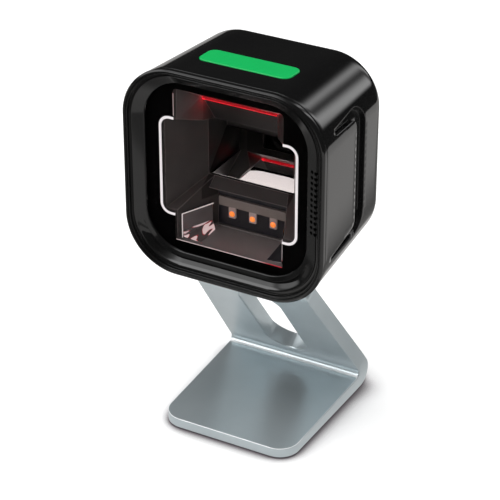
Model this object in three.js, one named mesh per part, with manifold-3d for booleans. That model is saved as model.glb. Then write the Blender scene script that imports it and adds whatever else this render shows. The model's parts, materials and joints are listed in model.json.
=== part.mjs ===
// A compact presentation barcode scanner: a glossy tapered head that tilts on a bent metal stand.
//
// Millimetres, +Z up. The origin is the centre of the footprint, on the surface the stand rests on.
// The window faces -Y. The head's own frame has its origin at the middle of the front rim, so that
// y is the depth behind the rim and z the height above the head's axis.
import * as THREE from "three";
import { mergeVertices } from "three/addons/utils/BufferGeometryUtils.js";
import Module from "manifold-3d";

const wasm = await Module();
wasm.setup();

// ---- Driving dimensions --------------------------------------------------------------------------

// Head: a rounded square tube that narrows evenly towards the rear, as if to a point far behind.
const HEAD = { halfW: 39.7, halfH: 40.2, cornerR: 20.5, apexDepth: 620, rimY: -33.5, axisZ: 107.5 };
const WALL = 2.2;
const SEAM = { y: 2.4, gap: 0.25 }; // where the bezel meets the housing
const REAR = { edgeY: 48, edgeR: 6.5, crown: 1.2, crownInset: 12 };

// Window: the opening in the bezel, and the clear cross left by the printed mask.
const WINDOW = { halfW: 32, halfH: 33, cornerR: 15.5, centreZ: 1.8, frontY: 3.2, thick: 1.6, lap: 1.4 };
const CLEAR = {
  halfW: 26.5, neckHalfW: 21.7, top: 31.4, shoulderTop: 19.3, shoulderLow: -17.6, bottom: -28.4,
};
const MASK_THICK = 0.2;
const GASKET = { thick: 0.9, shrink: 0.4, grow: 1.2 };
const VENT = { x: [34.4, 36.1], topZ: 14.2, pitch: 2.13, rows: 12, r: 0.55 };
const SKIRT_END = 7.5; // how far the bezel's skirt reaches into the housing

// The bezel's section, as [share of the way from the head's outline to the window opening, depth].
// The scoop deepens the chin below the window, at the share of its lower lip.
const SCOOP = { share: 0.78, depth: 2.1, startZ: -20, fullZ: -35 };
const BEZEL_FACE = [
  [0, 1], [0.04, 0.3], [0.1, 0], [0.19, 0], [0.23, 0.35], [0.25, 1.4], [0.38, 1.4],
  [0.4, 0.75], [SCOOP.share, 1.75], [0.83, 1.85], [0.97, 2.15], [1, 2.4],
];

// Side grips: a channel round three sides of each cheek.
const GRIP = { frontY: 6, insideY: 29.5, outsideY: 38.2, midZ: 2, insideH: 22.3, outsideH: 24.9, depth: 1.3 };
const GRIP_R = { inside: 3, outside: 9 };

// Indicator button in the top face, and the board under it.
const BUTTON = { halfW: 17.9, halfL: 5.7, cornerR: 3.2, middleY: 20.5, proud: 0.3, gap: 0.3 };
const BUTTON_FLANGE = { drop: 0.7, thick: 0.8, lip: 1 }; // the drop clears the wall's curved ends
const BUTTON_TRAVEL = 0.6;
const BUTTON_STUD = { r: 1.5, length: 0.55 };
const INDICATOR_LED_X = 10;

// Stand: one bent plate, its arm leaning forward, ending in the knuckle of the tilt hinge.
const PLATE = { frontY: -32.8, bendY: 25.5, halfWFront: 27.2, halfWBend: 28.25, halfWArm: 24.5, frontR: 8 };
const FOOT_LEVEL = { bottom: 0.6, topFront: 4.4, topBend: 6.1 };
const BEND_R = { edge: 0.8, inner: 2, outer: 5.8, top: 17.25, blend: 30 };
const ARM = { lean: THREE.MathUtils.degToRad(37.1), thick: 6.5, length: 62.4 };
const SLOT = { halfW: 8.6, start: 7.2, end: 58.3 };
const TONGUE = { halfW: 10.9, shoulderZ: 64.6, shoulderR: 8, rootR: 1.5 };
const PAD = { inset: 2.5, gap: 0.2, rearY: 23, rearR: 3, thick: 1.4, recess: 1.5 };

// Tilt hinge, in the head's frame: the pin is held by two ears that are screwed to pads in the housing.
const PIVOT = { y: 21.15, z: -35.2, knuckleR: 4.2, boreR: 2.07, pinR: 2, pinHoleR: 2.1 };
const EAR = { x: 11.9, thick: 1.5, halfL: 5, below: 2.9, above: 4, r: 1.5 };
const FLANGE = { z: -34.4, thick: 1.4, endX: 21.4, frontY: 15, rearY: 27.3 };
const HINGE_SCREW = { x: 19.4, y: { front: 17.2, rear: 25.2 }, r: 0.9, headR: 1.9, holeR: 1.1 };
const NECK_OPENING = { halfW: 16.1, front: 6.2, rear: 6, r: 2 };
const PAD_BLOCK = { x0: 16.4, x1: 22, frontY: 14.5, rearY: 27.8, top: -34.6, holeBottom: -36.1 };

// Optics behind the window.
const CHASSIS = { frontY: 6.2, rearY: 40 };
const LED_WALL = 23.4; // depth of the rear wall of the lit chamber
const LED = { pitch: 8.4, z: -22.8, halfW: 1.45, halfH: 2.2, thick: 0.9, domeR: 1.05 };
const CHAMBER = { floorZ: -29.5, midY: 12.5, roofZ: -12.7, boardRoofZ: -14.2, lipY: 19.5, rearHalfW: 14.2 };
const SILL = { y: 22, z: -8.4, halfW: 17.2, ceilingZ: 14.4 }; // the rear of the wide funnel
const BROW = { y: 14, halfW: 14.7, z: 26 }; // where the upper funnel meets the sloping ceiling
const FOLD_MIRROR = { y: 22.6, z: -9, length: 19, thick: 0.9, halfW: 17.8 }; // climbs at 45 degrees
const SIDE_MIRROR = { front: [20.4, 7.4], rear: [15, 20.3], low: -28.4, high: -18.6, thick: 0.8 };
const CAMERA = { y: 30, pocketHalfW: 13, portHalfW: 8, floorZ: 16, roofZ: 25.5, barrelR: 5, lensR: 3.1 };

// Electronics and fixings behind the optics.
const BOARD = { y: 42, thick: 1.2, halfW: 26, halfH: 27.5, r: 6 };
const SOCKET = { halfW: 7, low: -21, high: -9, rearY: 53.6, mouthHalfW: 5.4, latchHalfW: 2 };
const SPEAKER = { r: 5.2, narrow: 0.4, tall: 1.5, x: 33.9, y: 9.2, z: 2.7, thick: 3 }; // an oval
const LABEL_FRAME = { halfW: 13, low: 4, high: 18, floorY: 55.05, r: 1.5, gap: 0.3 };
const CASE_SCREW = { x: 20, z: { top: 23, bottom: -22 }, r: 1.2, length: 14, headR: 2.4, headY: 50.5 };
const POST = { r: 3.9, holeR: 1.6 }; // the housing's posts, over the board

const CLOSE = 0.05; // air left between flat faces that meet
const CORNER_SEGMENTS = 6; // round each corner of the head
const ARC_STEPS = 2; // half the facets of a rounded corner of a flat shape
const FINE_STEPS = 4;
const SIDES = [["left", -1], ["right", 1]];
const UP = new THREE.Vector3(0, 0, 1);
const ALONG_X = new THREE.Vector3(1, 0, 0);
const ALONG_Y = new THREE.Vector3(0, 1, 0);

// ---- Materials -----------------------------------------------------------------------------------

const material = (color, roughness, metalness = 0) =>
  new THREE.MeshStandardMaterial({ color, roughness, metalness });

const GLOSS_BLACK = material(0x0c0c0d, 0.12);
const MATT_BLACK = material(0x1c1b1b, 0.6);
const SATIN_METAL = material(0x9aa4a8, 0.35, 1);
const STEEL = material(0xb4b6b8, 0.3, 1);
const RUBBER = material(0x1a1a1a, 0.9);
const GLASS = material(0x2a2626, 0.05);
const MASK = material(0x030303, 0.3);
const MIRROR = material(0xd8dadb, 0.03, 1);
const GREEN = material(0x00a551, 0.35);
const BLUE_BOARD = material(0x14213a, 0.5);
const GREEN_BOARD = material(0x0f5132, 0.5);
const AMBER = material(0xff8a3c, 0.3);
const RED = material(0xd8101c, 0.3);
const GREY_LENS = material(0x6b6664, 0.4);
const CHIP = material(0x202124, 0.5);
const FOIL = material(0xb9bcbe, 0.5);

// ---- Solids --------------------------------------------------------------------------------------

// A closed three.js geometry as a manifold solid, and back.
function toSolid(geometry) {
  const bare = geometry.index ? geometry.toNonIndexed() : geometry.clone();
  bare.deleteAttribute("normal");
  bare.deleteAttribute("uv");
  const merged = mergeVertices(bare, 1e-4);
  const vertProperties = merged.attributes.position.array;
  const triVerts = new Uint32Array(merged.index.array);
  return new wasm.Manifold(new wasm.Mesh({ numProp: 3, vertProperties, triVerts }));
}

function toGeometry(manifold) {
  const { vertProperties, triVerts } = manifold.getMesh();
  const geometry = new THREE.BufferGeometry();
  geometry.setAttribute("position", new THREE.BufferAttribute(vertProperties, 3));
  geometry.setIndex(new THREE.BufferAttribute(triVerts, 1));
  geometry.computeVertexNormals();
  return geometry;
}

const cut = (from, ...cutters) =>
  toGeometry(cutters.reduce((left, c) => left.subtract(toSolid(c)), toSolid(from)));
const join = (first, ...others) =>
  toGeometry(others.reduce((sum, o) => sum.add(toSolid(o)), toSolid(first)));
const common = (a, ...others) =>
  toGeometry(others.reduce((rest, o) => rest.intersect(toSolid(o)), toSolid(a)));

// A shape through corners [u, v, r], each rounded to its radius r, or sharp without one.
function roundedShape(corners) {
  const shape = new THREE.Shape();
  const count = corners.length;
  corners.forEach(([u, v, r = 0], i) => {
    const here = new THREE.Vector2(u, v);
    const [before, after] = [corners[(i + count - 1) % count], corners[(i + 1) % count]];
    const back = new THREE.Vector2(before[0], before[1]).sub(here).normalize();
    const ahead = new THREE.Vector2(after[0], after[1]).sub(here).normalize();
    const half = Math.acos(THREE.MathUtils.clamp(back.dot(ahead), -1, 1)) / 2;
    const reach = r / Math.tan(half);
    const start = here.clone().addScaledVector(back, reach);
    if (i === 0) shape.moveTo(start.x, start.y);
    else shape.lineTo(start.x, start.y);
    if (r === 0) return;
    const end = here.clone().addScaledVector(ahead, reach);
    const middle = back.clone().add(ahead).normalize();
    const centre = here.clone().addScaledVector(middle, r / Math.sin(half));
    const from = Math.atan2(start.y - centre.y, start.x - centre.x);
    const to = Math.atan2(end.y - centre.y, end.x - centre.x);
    shape.absarc(centre.x, centre.y, r, from, to, back.cross(ahead) > 0);
  });
  shape.closePath();
  return shape;
}

const rectangle = (u0, u1, v0, v1, r = 0) =>
  roundedShape([[u0, v0, r], [u1, v0, r], [u1, v1, r], [u0, v1, r]]);

// A shape's plane (u, v) and the way it is extruded, as a rotation of the shape's own axes.
const PLANES = {
  xy: new THREE.Matrix4(),
  xz: new THREE.Matrix4().makeBasis(ALONG_X, UP, ALONG_Y.clone().negate()),
  yz: new THREE.Matrix4().makeBasis(ALONG_Y, UP, ALONG_X),
};

// The shape extruded between two levels along the third axis of its plane.
function prism(shape, plane, low, high, curveSegments = ARC_STEPS) {
  const g = new THREE.ExtrudeGeometry(shape, { depth: high - low, bevelEnabled: false, curveSegments });
  g.translate(0, 0, plane === "xz" ? -high : low);
  return g.applyMatrix4(PLANES[plane]);
}

const span = (a, b) => [Math.min(a, b), Math.max(a, b)];

const box = (x0, x1, y0, y1, z0, z1) =>
  new THREE.BoxGeometry(x1 - x0, y1 - y0, z1 - z0)
    .translate((x0 + x1) / 2, (y0 + y1) / 2, (z0 + z1) / 2);

// A cylinder from one point along an axis.
function rod(r, length, axis, at, segments = 20) {
  const g = new THREE.CylinderGeometry(r, r, length, segments).translate(0, length / 2, 0);
  g.applyQuaternion(new THREE.Quaternion().setFromUnitVectors(ALONG_Y, axis));
  return g.translate(...at);
}

// A rounded rectangle as a loop of points at depth y, anticlockwise seen from the front.
function outline({ halfW, halfH, cornerR, centreZ = 0 }, y) {
  const loop = [];
  const corners = [[1, -1, -90], [1, 1, 0], [-1, 1, 90], [-1, -1, 180]];
  for (const [sx, sz, startDegrees] of corners)
    for (let i = 0; i <= CORNER_SEGMENTS; i++) {
      const angle = THREE.MathUtils.degToRad(startDegrees + (90 * i) / CORNER_SEGMENTS);
      const x = sx * (halfW - cornerR) + cornerR * Math.cos(angle);
      const z = centreZ + sz * (halfH - cornerR) + cornerR * Math.sin(angle);
      loop.push(new THREE.Vector3(x, y, z));
    }
  return loop;
}

// The skin through a row of loops. A ring's last loop joins its first, and any other row is capped.
function loft(loops, ring = false) {
  const n = loops[0].length;
  const points = loops.flat();
  const triangles = [];
  const bands = ring ? loops.length : loops.length - 1;
  for (let k = 0; k < bands; k++)
    for (let j = 0; j < n; j++) {
      const next = (j + 1) % n;
      const [a, b] = [k * n + j, k * n + next];
      const after = ((k + 1) % loops.length) * n;
      triangles.push(a, after + j, after + next, a, after + next, b);
    }
  if (!ring) {
    const middle = (loop) => loop.reduce((s, p) => s.add(p), new THREE.Vector3()).divideScalar(n);
    const [front, rear] = [points.length, points.length + 1];
    const last = (loops.length - 1) * n;
    points.push(middle(loops[0]), middle(loops.at(-1)));
    for (let j = 0; j < n; j++) {
      const next = (j + 1) % n;
      triangles.push(front, j, next, rear, last + next, last + j);
    }
  }
  const geometry = new THREE.BufferGeometry().setFromPoints(points);
  return geometry.setIndex(triangles);
}

// ---- Scene graph ---------------------------------------------------------------------------------

const scanner = new THREE.Group();
const head = new THREE.Group();
head.position.set(0, HEAD.rimY, HEAD.axisZ);
scanner.add(head);

function add(group, name, geometry, finish) {
  const mesh = new THREE.Mesh(geometry, finish);
  mesh.name = name;
  group.add(mesh);
  return mesh;
}

// ---- Head: housing, bezel and window -------------------------------------------------------------

// The head's outline at a depth, drawn in by an inset.
function section(y, inset = 0) {
  const k = 1 - y / HEAD.apexDepth;
  return {
    halfW: HEAD.halfW * k - inset,
    halfH: HEAD.halfH * k - inset,
    cornerR: Math.max(HEAD.cornerR * k - inset, 1),
  };
}

// The tapered body with its rounded rear edge, from one depth to the rear face, drawn in by a wall.
function body(frontY, inset = 0) {
  const loops = [outline(section(frontY, inset), frontY)];
  const radius = REAR.edgeR - inset / 2;
  const startY = REAR.edgeY - inset / 2;
  for (let i = 0; i <= FINE_STEPS; i++) {
    const angle = (Math.PI / 2) * (i / FINE_STEPS);
    const y = startY + radius * Math.sin(angle);
    loops.push(outline(section(y, inset + radius * (1 - Math.cos(angle))), y));
  }
  const edge = startY + radius;
  loops.push(outline(section(edge, inset + radius + REAR.crownInset), edge + REAR.crown));
  return loft(loops);
}

// The channel round a cheek, as a shape in the side's (y, z) plane that narrows to nothing in front.
function gripShape() {
  const { frontY, insideY, outsideY, midZ, insideH, outsideH } = GRIP;
  const [tip, mouth] = [outsideH - 0.5, frontY + 1];
  return roundedShape([
    [frontY, midZ + tip],
    [insideY, midZ + insideH, GRIP_R.inside],
    [insideY, midZ - insideH, GRIP_R.inside],
    [frontY, midZ - tip],
    [mouth, midZ - outsideH],
    [outsideY, midZ - outsideH, GRIP_R.outside],
    [outsideY, midZ + outsideH, GRIP_R.outside],
    [mouth, midZ + outsideH],
  ]);
}

// What the grip takes from one side: the skin inside the shape, down to the channel's floor.
function gripCutter(side) {
  const [low, high] = span(side * 25, side * 50);
  return cut(prism(gripShape(), "yz", low, high, FINE_STEPS - 1), body(0, GRIP.depth));
}

// Something made once at each of the four case screws.
const atCaseScrews = (make) =>
  Object.entries(CASE_SCREW.z).flatMap(([row, z]) =>
    SIDES.map(([word, side]) => make(side * CASE_SCREW.x, z, `${row}_${word}`)));

function buildHousing() {
  const front = SEAM.y + SEAM.gap;
  const outside = body(front);
  const shell = cut(outside, body(front - 1, WALL));
  const pads = SIDES.map(([, side]) => {
    const [x0, x1] = span(side * PAD_BLOCK.x0, side * PAD_BLOCK.x1);
    return box(x0, x1, PAD_BLOCK.frontY, PAD_BLOCK.rearY, -HEAD.halfH, PAD_BLOCK.top);
  });
  const posts = atCaseScrews((x, z) => rod(POST.r, 12, ALONG_Y, [x, BOARD.y + BOARD.thick + 0.4, z], 16));
  const filled = join(shell, ...[...pads, ...posts].map((p) => common(p, outside)));

  const { halfW, halfL, cornerR, gap, middleY } = BUTTON;
  const [wide, long] = [halfW + gap, halfL + gap];
  const buttonHole = rectangle(-wide, wide, middleY - long, middleY + long, cornerR);
  const neck = NECK_OPENING;
  const neckHole = rectangle(-neck.halfW, neck.halfW, PIVOT.y - neck.front, PIVOT.y + neck.rear, neck.r);
  const cable = { halfW: SOCKET.halfW + 0.6, low: SOCKET.low - 0.6, high: SOCKET.high + 0.6 };
  const cableHole = rectangle(-cable.halfW, cable.halfW, cable.low, cable.high, 1);
  const label = LABEL_FRAME;
  return cut(
    filled,
    gripCutter(1),
    gripCutter(-1),
    prism(buttonHole, "xy", 30, 45),
    prism(neckHole, "xy", -45, -34),
    prism(cableHole, "xz", 50, 60),
    prism(rectangle(-label.halfW, label.halfW, label.low, label.high, label.r), "xz", label.floorY, 60),
    ...atCaseScrews((x, z) => rod(CASE_SCREW.headR + 0.3, 10, ALONG_Y, [x, CASE_SCREW.headY - 0.2, z], 16)),
    ...atCaseScrews((x, z) => rod(POST.holeR, 12, ALONG_Y, [x, BOARD.y - 2, z], 12)),
    ...hingeScrewHoles(1, PAD_BLOCK.holeBottom),
    ...hingeScrewHoles(-1, PAD_BLOCK.holeBottom),
  );
}

// The bezel's outline at a share of the way to the window opening.
function bezelLoop(share, y) {
  const [outer, inner] = [{ centreZ: 0, ...HEAD }, WINDOW];
  const size = {};
  for (const key of ["halfW", "halfH", "cornerR", "centreZ"])
    size[key] = THREE.MathUtils.lerp(outer[key], inner[key], share);
  const loop = outline(size, y);
  if (share === SCOOP.share)
    for (const p of loop)
      p.y += SCOOP.depth * THREE.MathUtils.smoothstep(-p.z, -SCOOP.startZ, -SCOOP.fullZ);
  return loop;
}

// The window opening grown by a margin.
const windowSize = (grow) => ({
  halfW: WINDOW.halfW + grow,
  halfH: WINDOW.halfH + grow,
  cornerR: WINDOW.cornerR + grow,
  centreZ: WINDOW.centreZ,
});

function buildBezel() {
  const seat = windowSize(WINDOW.lap + 0.2);
  const seatY = WINDOW.frontY - CLOSE;
  const skirtInset = WALL + 0.4;
  const ring = loft([
    ...BEZEL_FACE.map(([share, y]) => bezelLoop(share, y)).reverse(),
    outline(section(SEAM.y), SEAM.y),
    outline(section(SEAM.y, skirtInset), SEAM.y),
    outline(section(SKIRT_END, skirtInset), SKIRT_END),
    outline(seat, SKIRT_END),
    outline(seat, seatY),
    outline(WINDOW, seatY),
  ], true);
  const rows = Array.from({ length: VENT.rows }, (_, i) => VENT.topZ - i * VENT.pitch);
  const vents = VENT.x.flatMap((x) => rows.map((z) => rod(VENT.r, 12, ALONG_Y, [x, -1, z], 6)));
  return cut(ring, ...vents);
}

// A pane that fills the window's seat between two depths.
const pane = (front, rear, shrink = 0) =>
  loft([front, rear].map((y) => outline(windowSize(WINDOW.lap - shrink), y)));

// The clear cross, grown outwards by a margin.
function clearShape(grow = 0) {
  const [wide, neck] = [CLEAR.halfW + grow, CLEAR.neckHalfW + grow];
  const [top, bottom] = [CLEAR.top + grow, CLEAR.bottom - grow];
  const [shoulderTop, shoulderLow] = [CLEAR.shoulderTop + grow, CLEAR.shoulderLow - grow];
  const right = [
    [neck, bottom, 0.6], [neck, shoulderLow, 0.2], [wide, shoulderLow, 3],
    [wide, shoulderTop, 3], [neck, shoulderTop, 0.2], [neck, top, 1.4],
  ];
  return roundedShape([...right, ...right.map(([u, v, r]) => [-u, v, r]).reverse()]);
}

function addFront() {
  const maskY = WINDOW.frontY + WINDOW.thick + CLOSE;
  const gasketY = maskY + MASK_THICK + CLOSE;
  const through = (shape) => prism(shape, "xz", 0, 10);
  add(head, "rear_housing", buildHousing(), GLOSS_BLACK);
  add(head, "front_bezel", buildBezel(), GLOSS_BLACK);
  add(head, "window_glass", pane(WINDOW.frontY, WINDOW.frontY + WINDOW.thick), GLASS);
  add(head, "window_mask", cut(pane(maskY, maskY + MASK_THICK), through(clearShape())), MASK);
  add(head, "window_gasket", cut(
    pane(gasketY, gasketY + GASKET.thick, GASKET.shrink), through(clearShape(GASKET.grow))), RUBBER);
}

// ---- Head: optics --------------------------------------------------------------------------------

// A funnel between two rectangles [halfW, low, high] at two depths.
function funnel([w0, low0, high0], y0, [w1, low1, high1], y1) {
  const loop = (w, low, high, y) =>
    [[w, low], [w, high], [-w, high], [-w, low]].map(([x, z]) => new THREE.Vector3(x, y, z));
  return loft([loop(w0, low0, high0, y0), loop(w1, low1, high1, y1)]);
}

// The moulded block behind the window: a wide funnel to the fold mirror, and a lit chamber below it.
function buildChassis() {
  const block = loft([
    outline({ halfW: 30, halfH: 31.9, cornerR: 9, centreZ: 1.2 }, CHASSIS.frontY),
    outline({ halfW: 25, halfH: 28.9, cornerR: 6, centreZ: -1.8 }, CHASSIS.rearY),
  ]);
  const mouthY = CHASSIS.frontY - 1;
  const { neckHalfW, shoulderTop, shoulderLow, top, bottom } = CLEAR;
  const { floorZ, midY, roofZ, boardRoofZ, lipY, rearHalfW } = CHAMBER;
  const wide = funnel(
    [CLEAR.halfW + 0.1, shoulderLow - 0.1, shoulderTop + 0.1], mouthY,
    [SILL.halfW, SILL.z, SILL.ceilingZ], SILL.y);
  const upper = funnel([neckHalfW + 0.1, 12, top + 0.1], mouthY, [BROW.halfW, 12, BROW.z], BROW.y);
  const ceiling = funnel([BROW.halfW, 12, BROW.z], BROW.y - 0.05, [BROW.halfW, 12, SILL.ceilingZ], SILL.y);
  const wallY = LED_WALL + 0.1;
  const chamber = common(
    funnel([neckHalfW + 0.2, -40, 0], mouthY, [rearHalfW, -40, 0], wallY),
    prism(roundedShape([
      [mouthY, bottom - 0.4], [midY, floorZ], [wallY, floorZ], [wallY, roofZ], [lipY, roofZ],
      [SILL.y, SILL.z], [SILL.y, SILL.z + 1], [mouthY, SILL.z + 1],
    ]), "yz", -30, 30));
  const { y, z, length, halfW } = FOLD_MIRROR;
  const reach = length * Math.SQRT1_2;
  const wellY = SILL.y - 0.1;
  const mirrorWell = roundedShape([
    [wellY, SILL.z - 0.1], [y + 0.9, z - 0.9], [y + reach + 1, z + reach - 0.8],
    [y + reach + 1, SILL.ceilingZ], [wellY, SILL.ceilingZ],
  ]);
  const { y: cameraY, pocketHalfW, portHalfW, floorZ: pocketLow, roofZ: pocketHigh } = CAMERA;
  return cut(
    block, wide, upper, ceiling, chamber,
    prism(mirrorWell, "yz", -halfW - 0.4, halfW + 0.4),
    box(-17, 17, LED_WALL + CLOSE, CHASSIS.rearY + 1, floorZ + 0.2, boardRoofZ),
    box(-pocketHalfW, pocketHalfW, cameraY - 6.5, CHASSIS.rearY + 1, pocketLow, pocketHigh),
    box(-portHalfW, portHalfW, cameraY - 5, cameraY + 5, pocketLow - 2, pocketLow + 0.1),
    ...atCaseScrews((x, sz) => rod(CASE_SCREW.r + 0.15, 12, ALONG_Y, [x, CHASSIS.rearY - 5.5, sz], 12)),
  );
}

function addMirrors() {
  const { y, z, length, thick, halfW } = FOLD_MIRROR;
  const fold = add(head, "fold_mirror", box(-halfW, halfW, 0.4, length, -thick, 0), MIRROR);
  fold.position.set(0, y, z + 0.3);
  fold.rotation.x = Math.PI / 4;

  const { front: [x0, y0], rear: [x1, y1], low, high } = SIDE_MIRROR;
  const half = SIDE_MIRROR.thick / 2;
  for (const [word, side] of SIDES) {
    const pane = box(-half, half, 0, Math.hypot(x0 - x1, y1 - y0), low, high);
    const mirror = add(head, `side_mirror_${word}`, pane, MIRROR);
    mirror.position.set(side * x0, y0, 0);
    mirror.rotation.z = side * Math.atan2(x0 - x1, y1 - y0);
  }
}

function buildLed() {
  const base = box(-LED.halfW, LED.halfW, -LED.thick, 0, -LED.halfH, LED.halfH);
  const dome = new THREE.SphereGeometry(LED.domeR, 10, 5).scale(1, 0.7, 1);
  return join(base, dome.translate(0, -LED.thick - CLOSE, -0.5));
}

function addIllumination() {
  const boardY = LED_WALL + 0.4;
  add(head, "led_board", box(-16.5, 16.5, boardY, boardY + 1, -28.6, -14.9), BLUE_BOARD);
  for (const [word, step] of [...SIDES, ["middle", 0]])
    add(head, `led_${word}`, buildLed(), AMBER).position.set(step * LED.pitch, boardY - CLOSE, LED.z);
  add(head, "light_pipe", box(-13.6, 13.6, LED_WALL - 0.9, boardY - 0.1, -20.4, -16.8), GREY_LENS);
  const aiming = roundedShape([[12.9, 25.6], [13.9, 25], [13.9, 26], [12.9, 26.6]]);
  add(head, "aiming_bar", prism(aiming, "yz", -14.4, 14.4), RED);
}

// The camera looks down at the fold mirror, from a pocket above it.
function addCamera() {
  const { y, floorZ, barrelR, lensR } = CAMERA;
  const roofZ = CAMERA.roofZ - 0.3;
  const boardZ = roofZ - 1;
  const top = boardZ - CLOSE;
  add(head, "imager_board", box(-12, 12, y - 6, y + 8.5, boardZ, roofZ), GREEN_BOARD);
  add(head, "image_sensor", box(-3.2, 3.2, y - 3.2, y + 3.2, top - 0.95, top), CHIP);
  add(head, "lens_barrel", cut(
    rod(barrelR, top - floorZ + 0.6, UP, [0, y, floorZ - 0.6], 24),
    rod(lensR + 0.3, 2.2, UP, [0, y, floorZ - 1]),
    box(-3.6, 3.6, y - 3.6, y + 3.6, top - 1.4, top + 1)), MATT_BLACK);
  add(head, "imager_lens", rod(lensR, 1, UP, [0, y, floorZ]), GLASS);
}

// ---- Head: electronics and fixings ---------------------------------------------------------------

function addElectronics() {
  const boardRear = BOARD.y + BOARD.thick;
  const { halfW, halfH, r } = BOARD;
  add(head, "main_board", cut(
    prism(rectangle(-halfW, halfW, -halfH, halfH, r), "xz", BOARD.y, boardRear),
    ...atCaseScrews((x, z) => rod(POST.holeR, 4, ALONG_Y, [x, BOARD.y - 1, z], 12))), GREEN_BOARD);
  add(head, "processor_shield", box(-12, 12, boardRear + CLOSE, boardRear + 2.6, -3, 17), STEEL);

  const { low, high, rearY, mouthHalfW, latchHalfW } = SOCKET;
  add(head, "cable_socket", cut(
    box(-SOCKET.halfW, SOCKET.halfW, boardRear + CLOSE, rearY, low, high),
    box(-mouthHalfW, mouthHalfW, boardRear + 2.5, rearY + 1, low + 2.2, high - 2),
    box(-latchHalfW, latchHalfW, boardRear + 4.5, rearY + 1, high - 2.5, high - 0.8)), CHIP);

  const speaker = rod(SPEAKER.r, SPEAKER.thick, ALONG_Y, [0, 0, 0]).scale(SPEAKER.narrow, 1, SPEAKER.tall);
  add(head, "speaker", speaker.translate(SPEAKER.x, SPEAKER.y, SPEAKER.z), CHIP);

  const [flexLow, flexHigh, tail] = [-27.2, -26.9, BOARD.y - 0.1];
  const flex = roundedShape([
    [LED_WALL + 1.5, flexLow], [38.5, flexLow, 1.2], [38.5, flexLow + 1.6], [tail, flexLow + 1.6],
    [tail, flexHigh + 1.6], [38.2, flexHigh + 1.6], [38.2, flexHigh, 0.9], [LED_WALL + 1.5, flexHigh],
  ]);
  add(head, "led_flex", prism(flex, "yz", -5, 5), AMBER);
}

function addLabel() {
  const { halfW, low, high, floorY, r, gap } = LABEL_FRAME;
  const shape = rectangle(-halfW + gap, halfW - gap, low + gap, high - gap, r - gap);
  add(head, "rating_label", prism(shape, "xz", floorY + 0.1, floorY + 0.35), FOIL);
}

function buildCaseScrew() {
  const { r, length, headR } = CASE_SCREW;
  const shank = rod(r, length, ALONG_Y, [0, -length, 0], 12);
  const cap = rod(headR, 1.8, ALONG_Y, [0, -CLOSE, 0], 18);
  const drive = [0, Math.PI / 2].map((turn) => box(-1.4, 1.4, 0.9, 3, -0.25, 0.25).rotateY(turn));
  return cut(join(shank, cap), ...drive);
}

function addCaseScrews() {
  atCaseScrews((x, z, place) =>
    add(head, `housing_screw_${place}`, buildCaseScrew(), STEEL).position.set(x, CASE_SCREW.headY, z));
}

// ---- Head: indicator button ----------------------------------------------------------------------

function buildButton(flangeLow, flangeTop) {
  const { halfW, halfL, cornerR, proud } = BUTTON;
  const { lip } = BUTTON_FLANGE;
  const { r, length } = BUTTON_STUD;
  const lens = rectangle(-halfW, halfW, -halfL, halfL, cornerR);
  const flange = rectangle(-halfW - lip, halfW + lip, -halfL - lip, halfL + lip, cornerR + lip);
  return join(
    prism(lens, "xy", flangeLow + 0.1, proud),
    prism(flange, "xy", flangeLow, flangeTop),
    rod(r, length + 0.2, UP, [0, 0, flangeLow - length], 12),
  );
}

// The button's frame lies in the sloping top face: z is the height above the face.
function addButton() {
  const topFace = new THREE.Group();
  topFace.position.set(0, BUTTON.middleY, HEAD.halfH * (1 - BUTTON.middleY / HEAD.apexDepth));
  topFace.rotation.x = -Math.atan(HEAD.halfH / HEAD.apexDepth);
  head.add(topFace);

  const flangeTop = -WALL - BUTTON_FLANGE.drop;
  const flangeLow = flangeTop - BUTTON_FLANGE.thick;
  const switchTop = flangeLow - BUTTON_STUD.length - BUTTON_TRAVEL - 0.1;
  const boardTop = switchTop - 0.6;
  const ledTop = boardTop + 0.55;
  add(topFace, "indicator_button", buildButton(flangeLow, flangeTop), GREEN);
  add(topFace, "button_switch", box(-1.8, 1.8, -1.8, 1.8, boardTop + CLOSE, switchTop), CHIP);
  add(topFace, "indicator_board", box(-17, 17, -6.4, 6.4, boardTop - 0.8, boardTop), GREEN_BOARD);
  for (const [word, side] of SIDES) {
    const x = side * INDICATOR_LED_X;
    add(topFace, `indicator_led_${word}`, box(x - 1.4, x + 1.4, -1, 1, boardTop + CLOSE, ledTop), GREEN);
  }
}

// ---- Tilt hinge ----------------------------------------------------------------------------------

// A rod along X at the pivot.
const pivotRod = (r, x0, x1, segments = 24) => rod(r, x1 - x0, ALONG_X, [x0, PIVOT.y, PIVOT.z], segments);

function hingeScrewHoles(side, bottom) {
  return Object.values(HINGE_SCREW.y).map((y) =>
    rod(HINGE_SCREW.holeR, 6, UP, [side * HINGE_SCREW.x, y, bottom], 12));
}

function buildBracket(side) {
  const { x, thick, halfL, below, above, r } = EAR;
  const [earLow, earHigh] = span(side * x, side * (x + thick));
  const [flangeLow, flangeHigh] = span(side * x, side * FLANGE.endX);
  const [endLow, endHigh] = span(side * (x + thick), side * (x + thick + 3));
  const profile = rectangle(PIVOT.y - halfL, PIVOT.y + halfL, PIVOT.z - below, PIVOT.z + above, r);
  const flange = box(flangeLow, flangeHigh, FLANGE.frontY, FLANGE.rearY, FLANGE.z, FLANGE.z + FLANGE.thick);
  return cut(
    join(prism(profile, "yz", earLow, earHigh), flange),
    pivotRod(PIVOT.pinHoleR, -30, 30),
    pivotRod(3.6, endLow, endHigh, 20),
    ...hingeScrewHoles(side, FLANGE.z - 1),
  );
}

function buildHingeScrew() {
  const { r, headR } = HINGE_SCREW;
  return join(rod(r, 2.6, UP, [0, 0, -2.55], 12), rod(headR, 1.1, UP, [0, 0, 0], 14));
}

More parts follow.
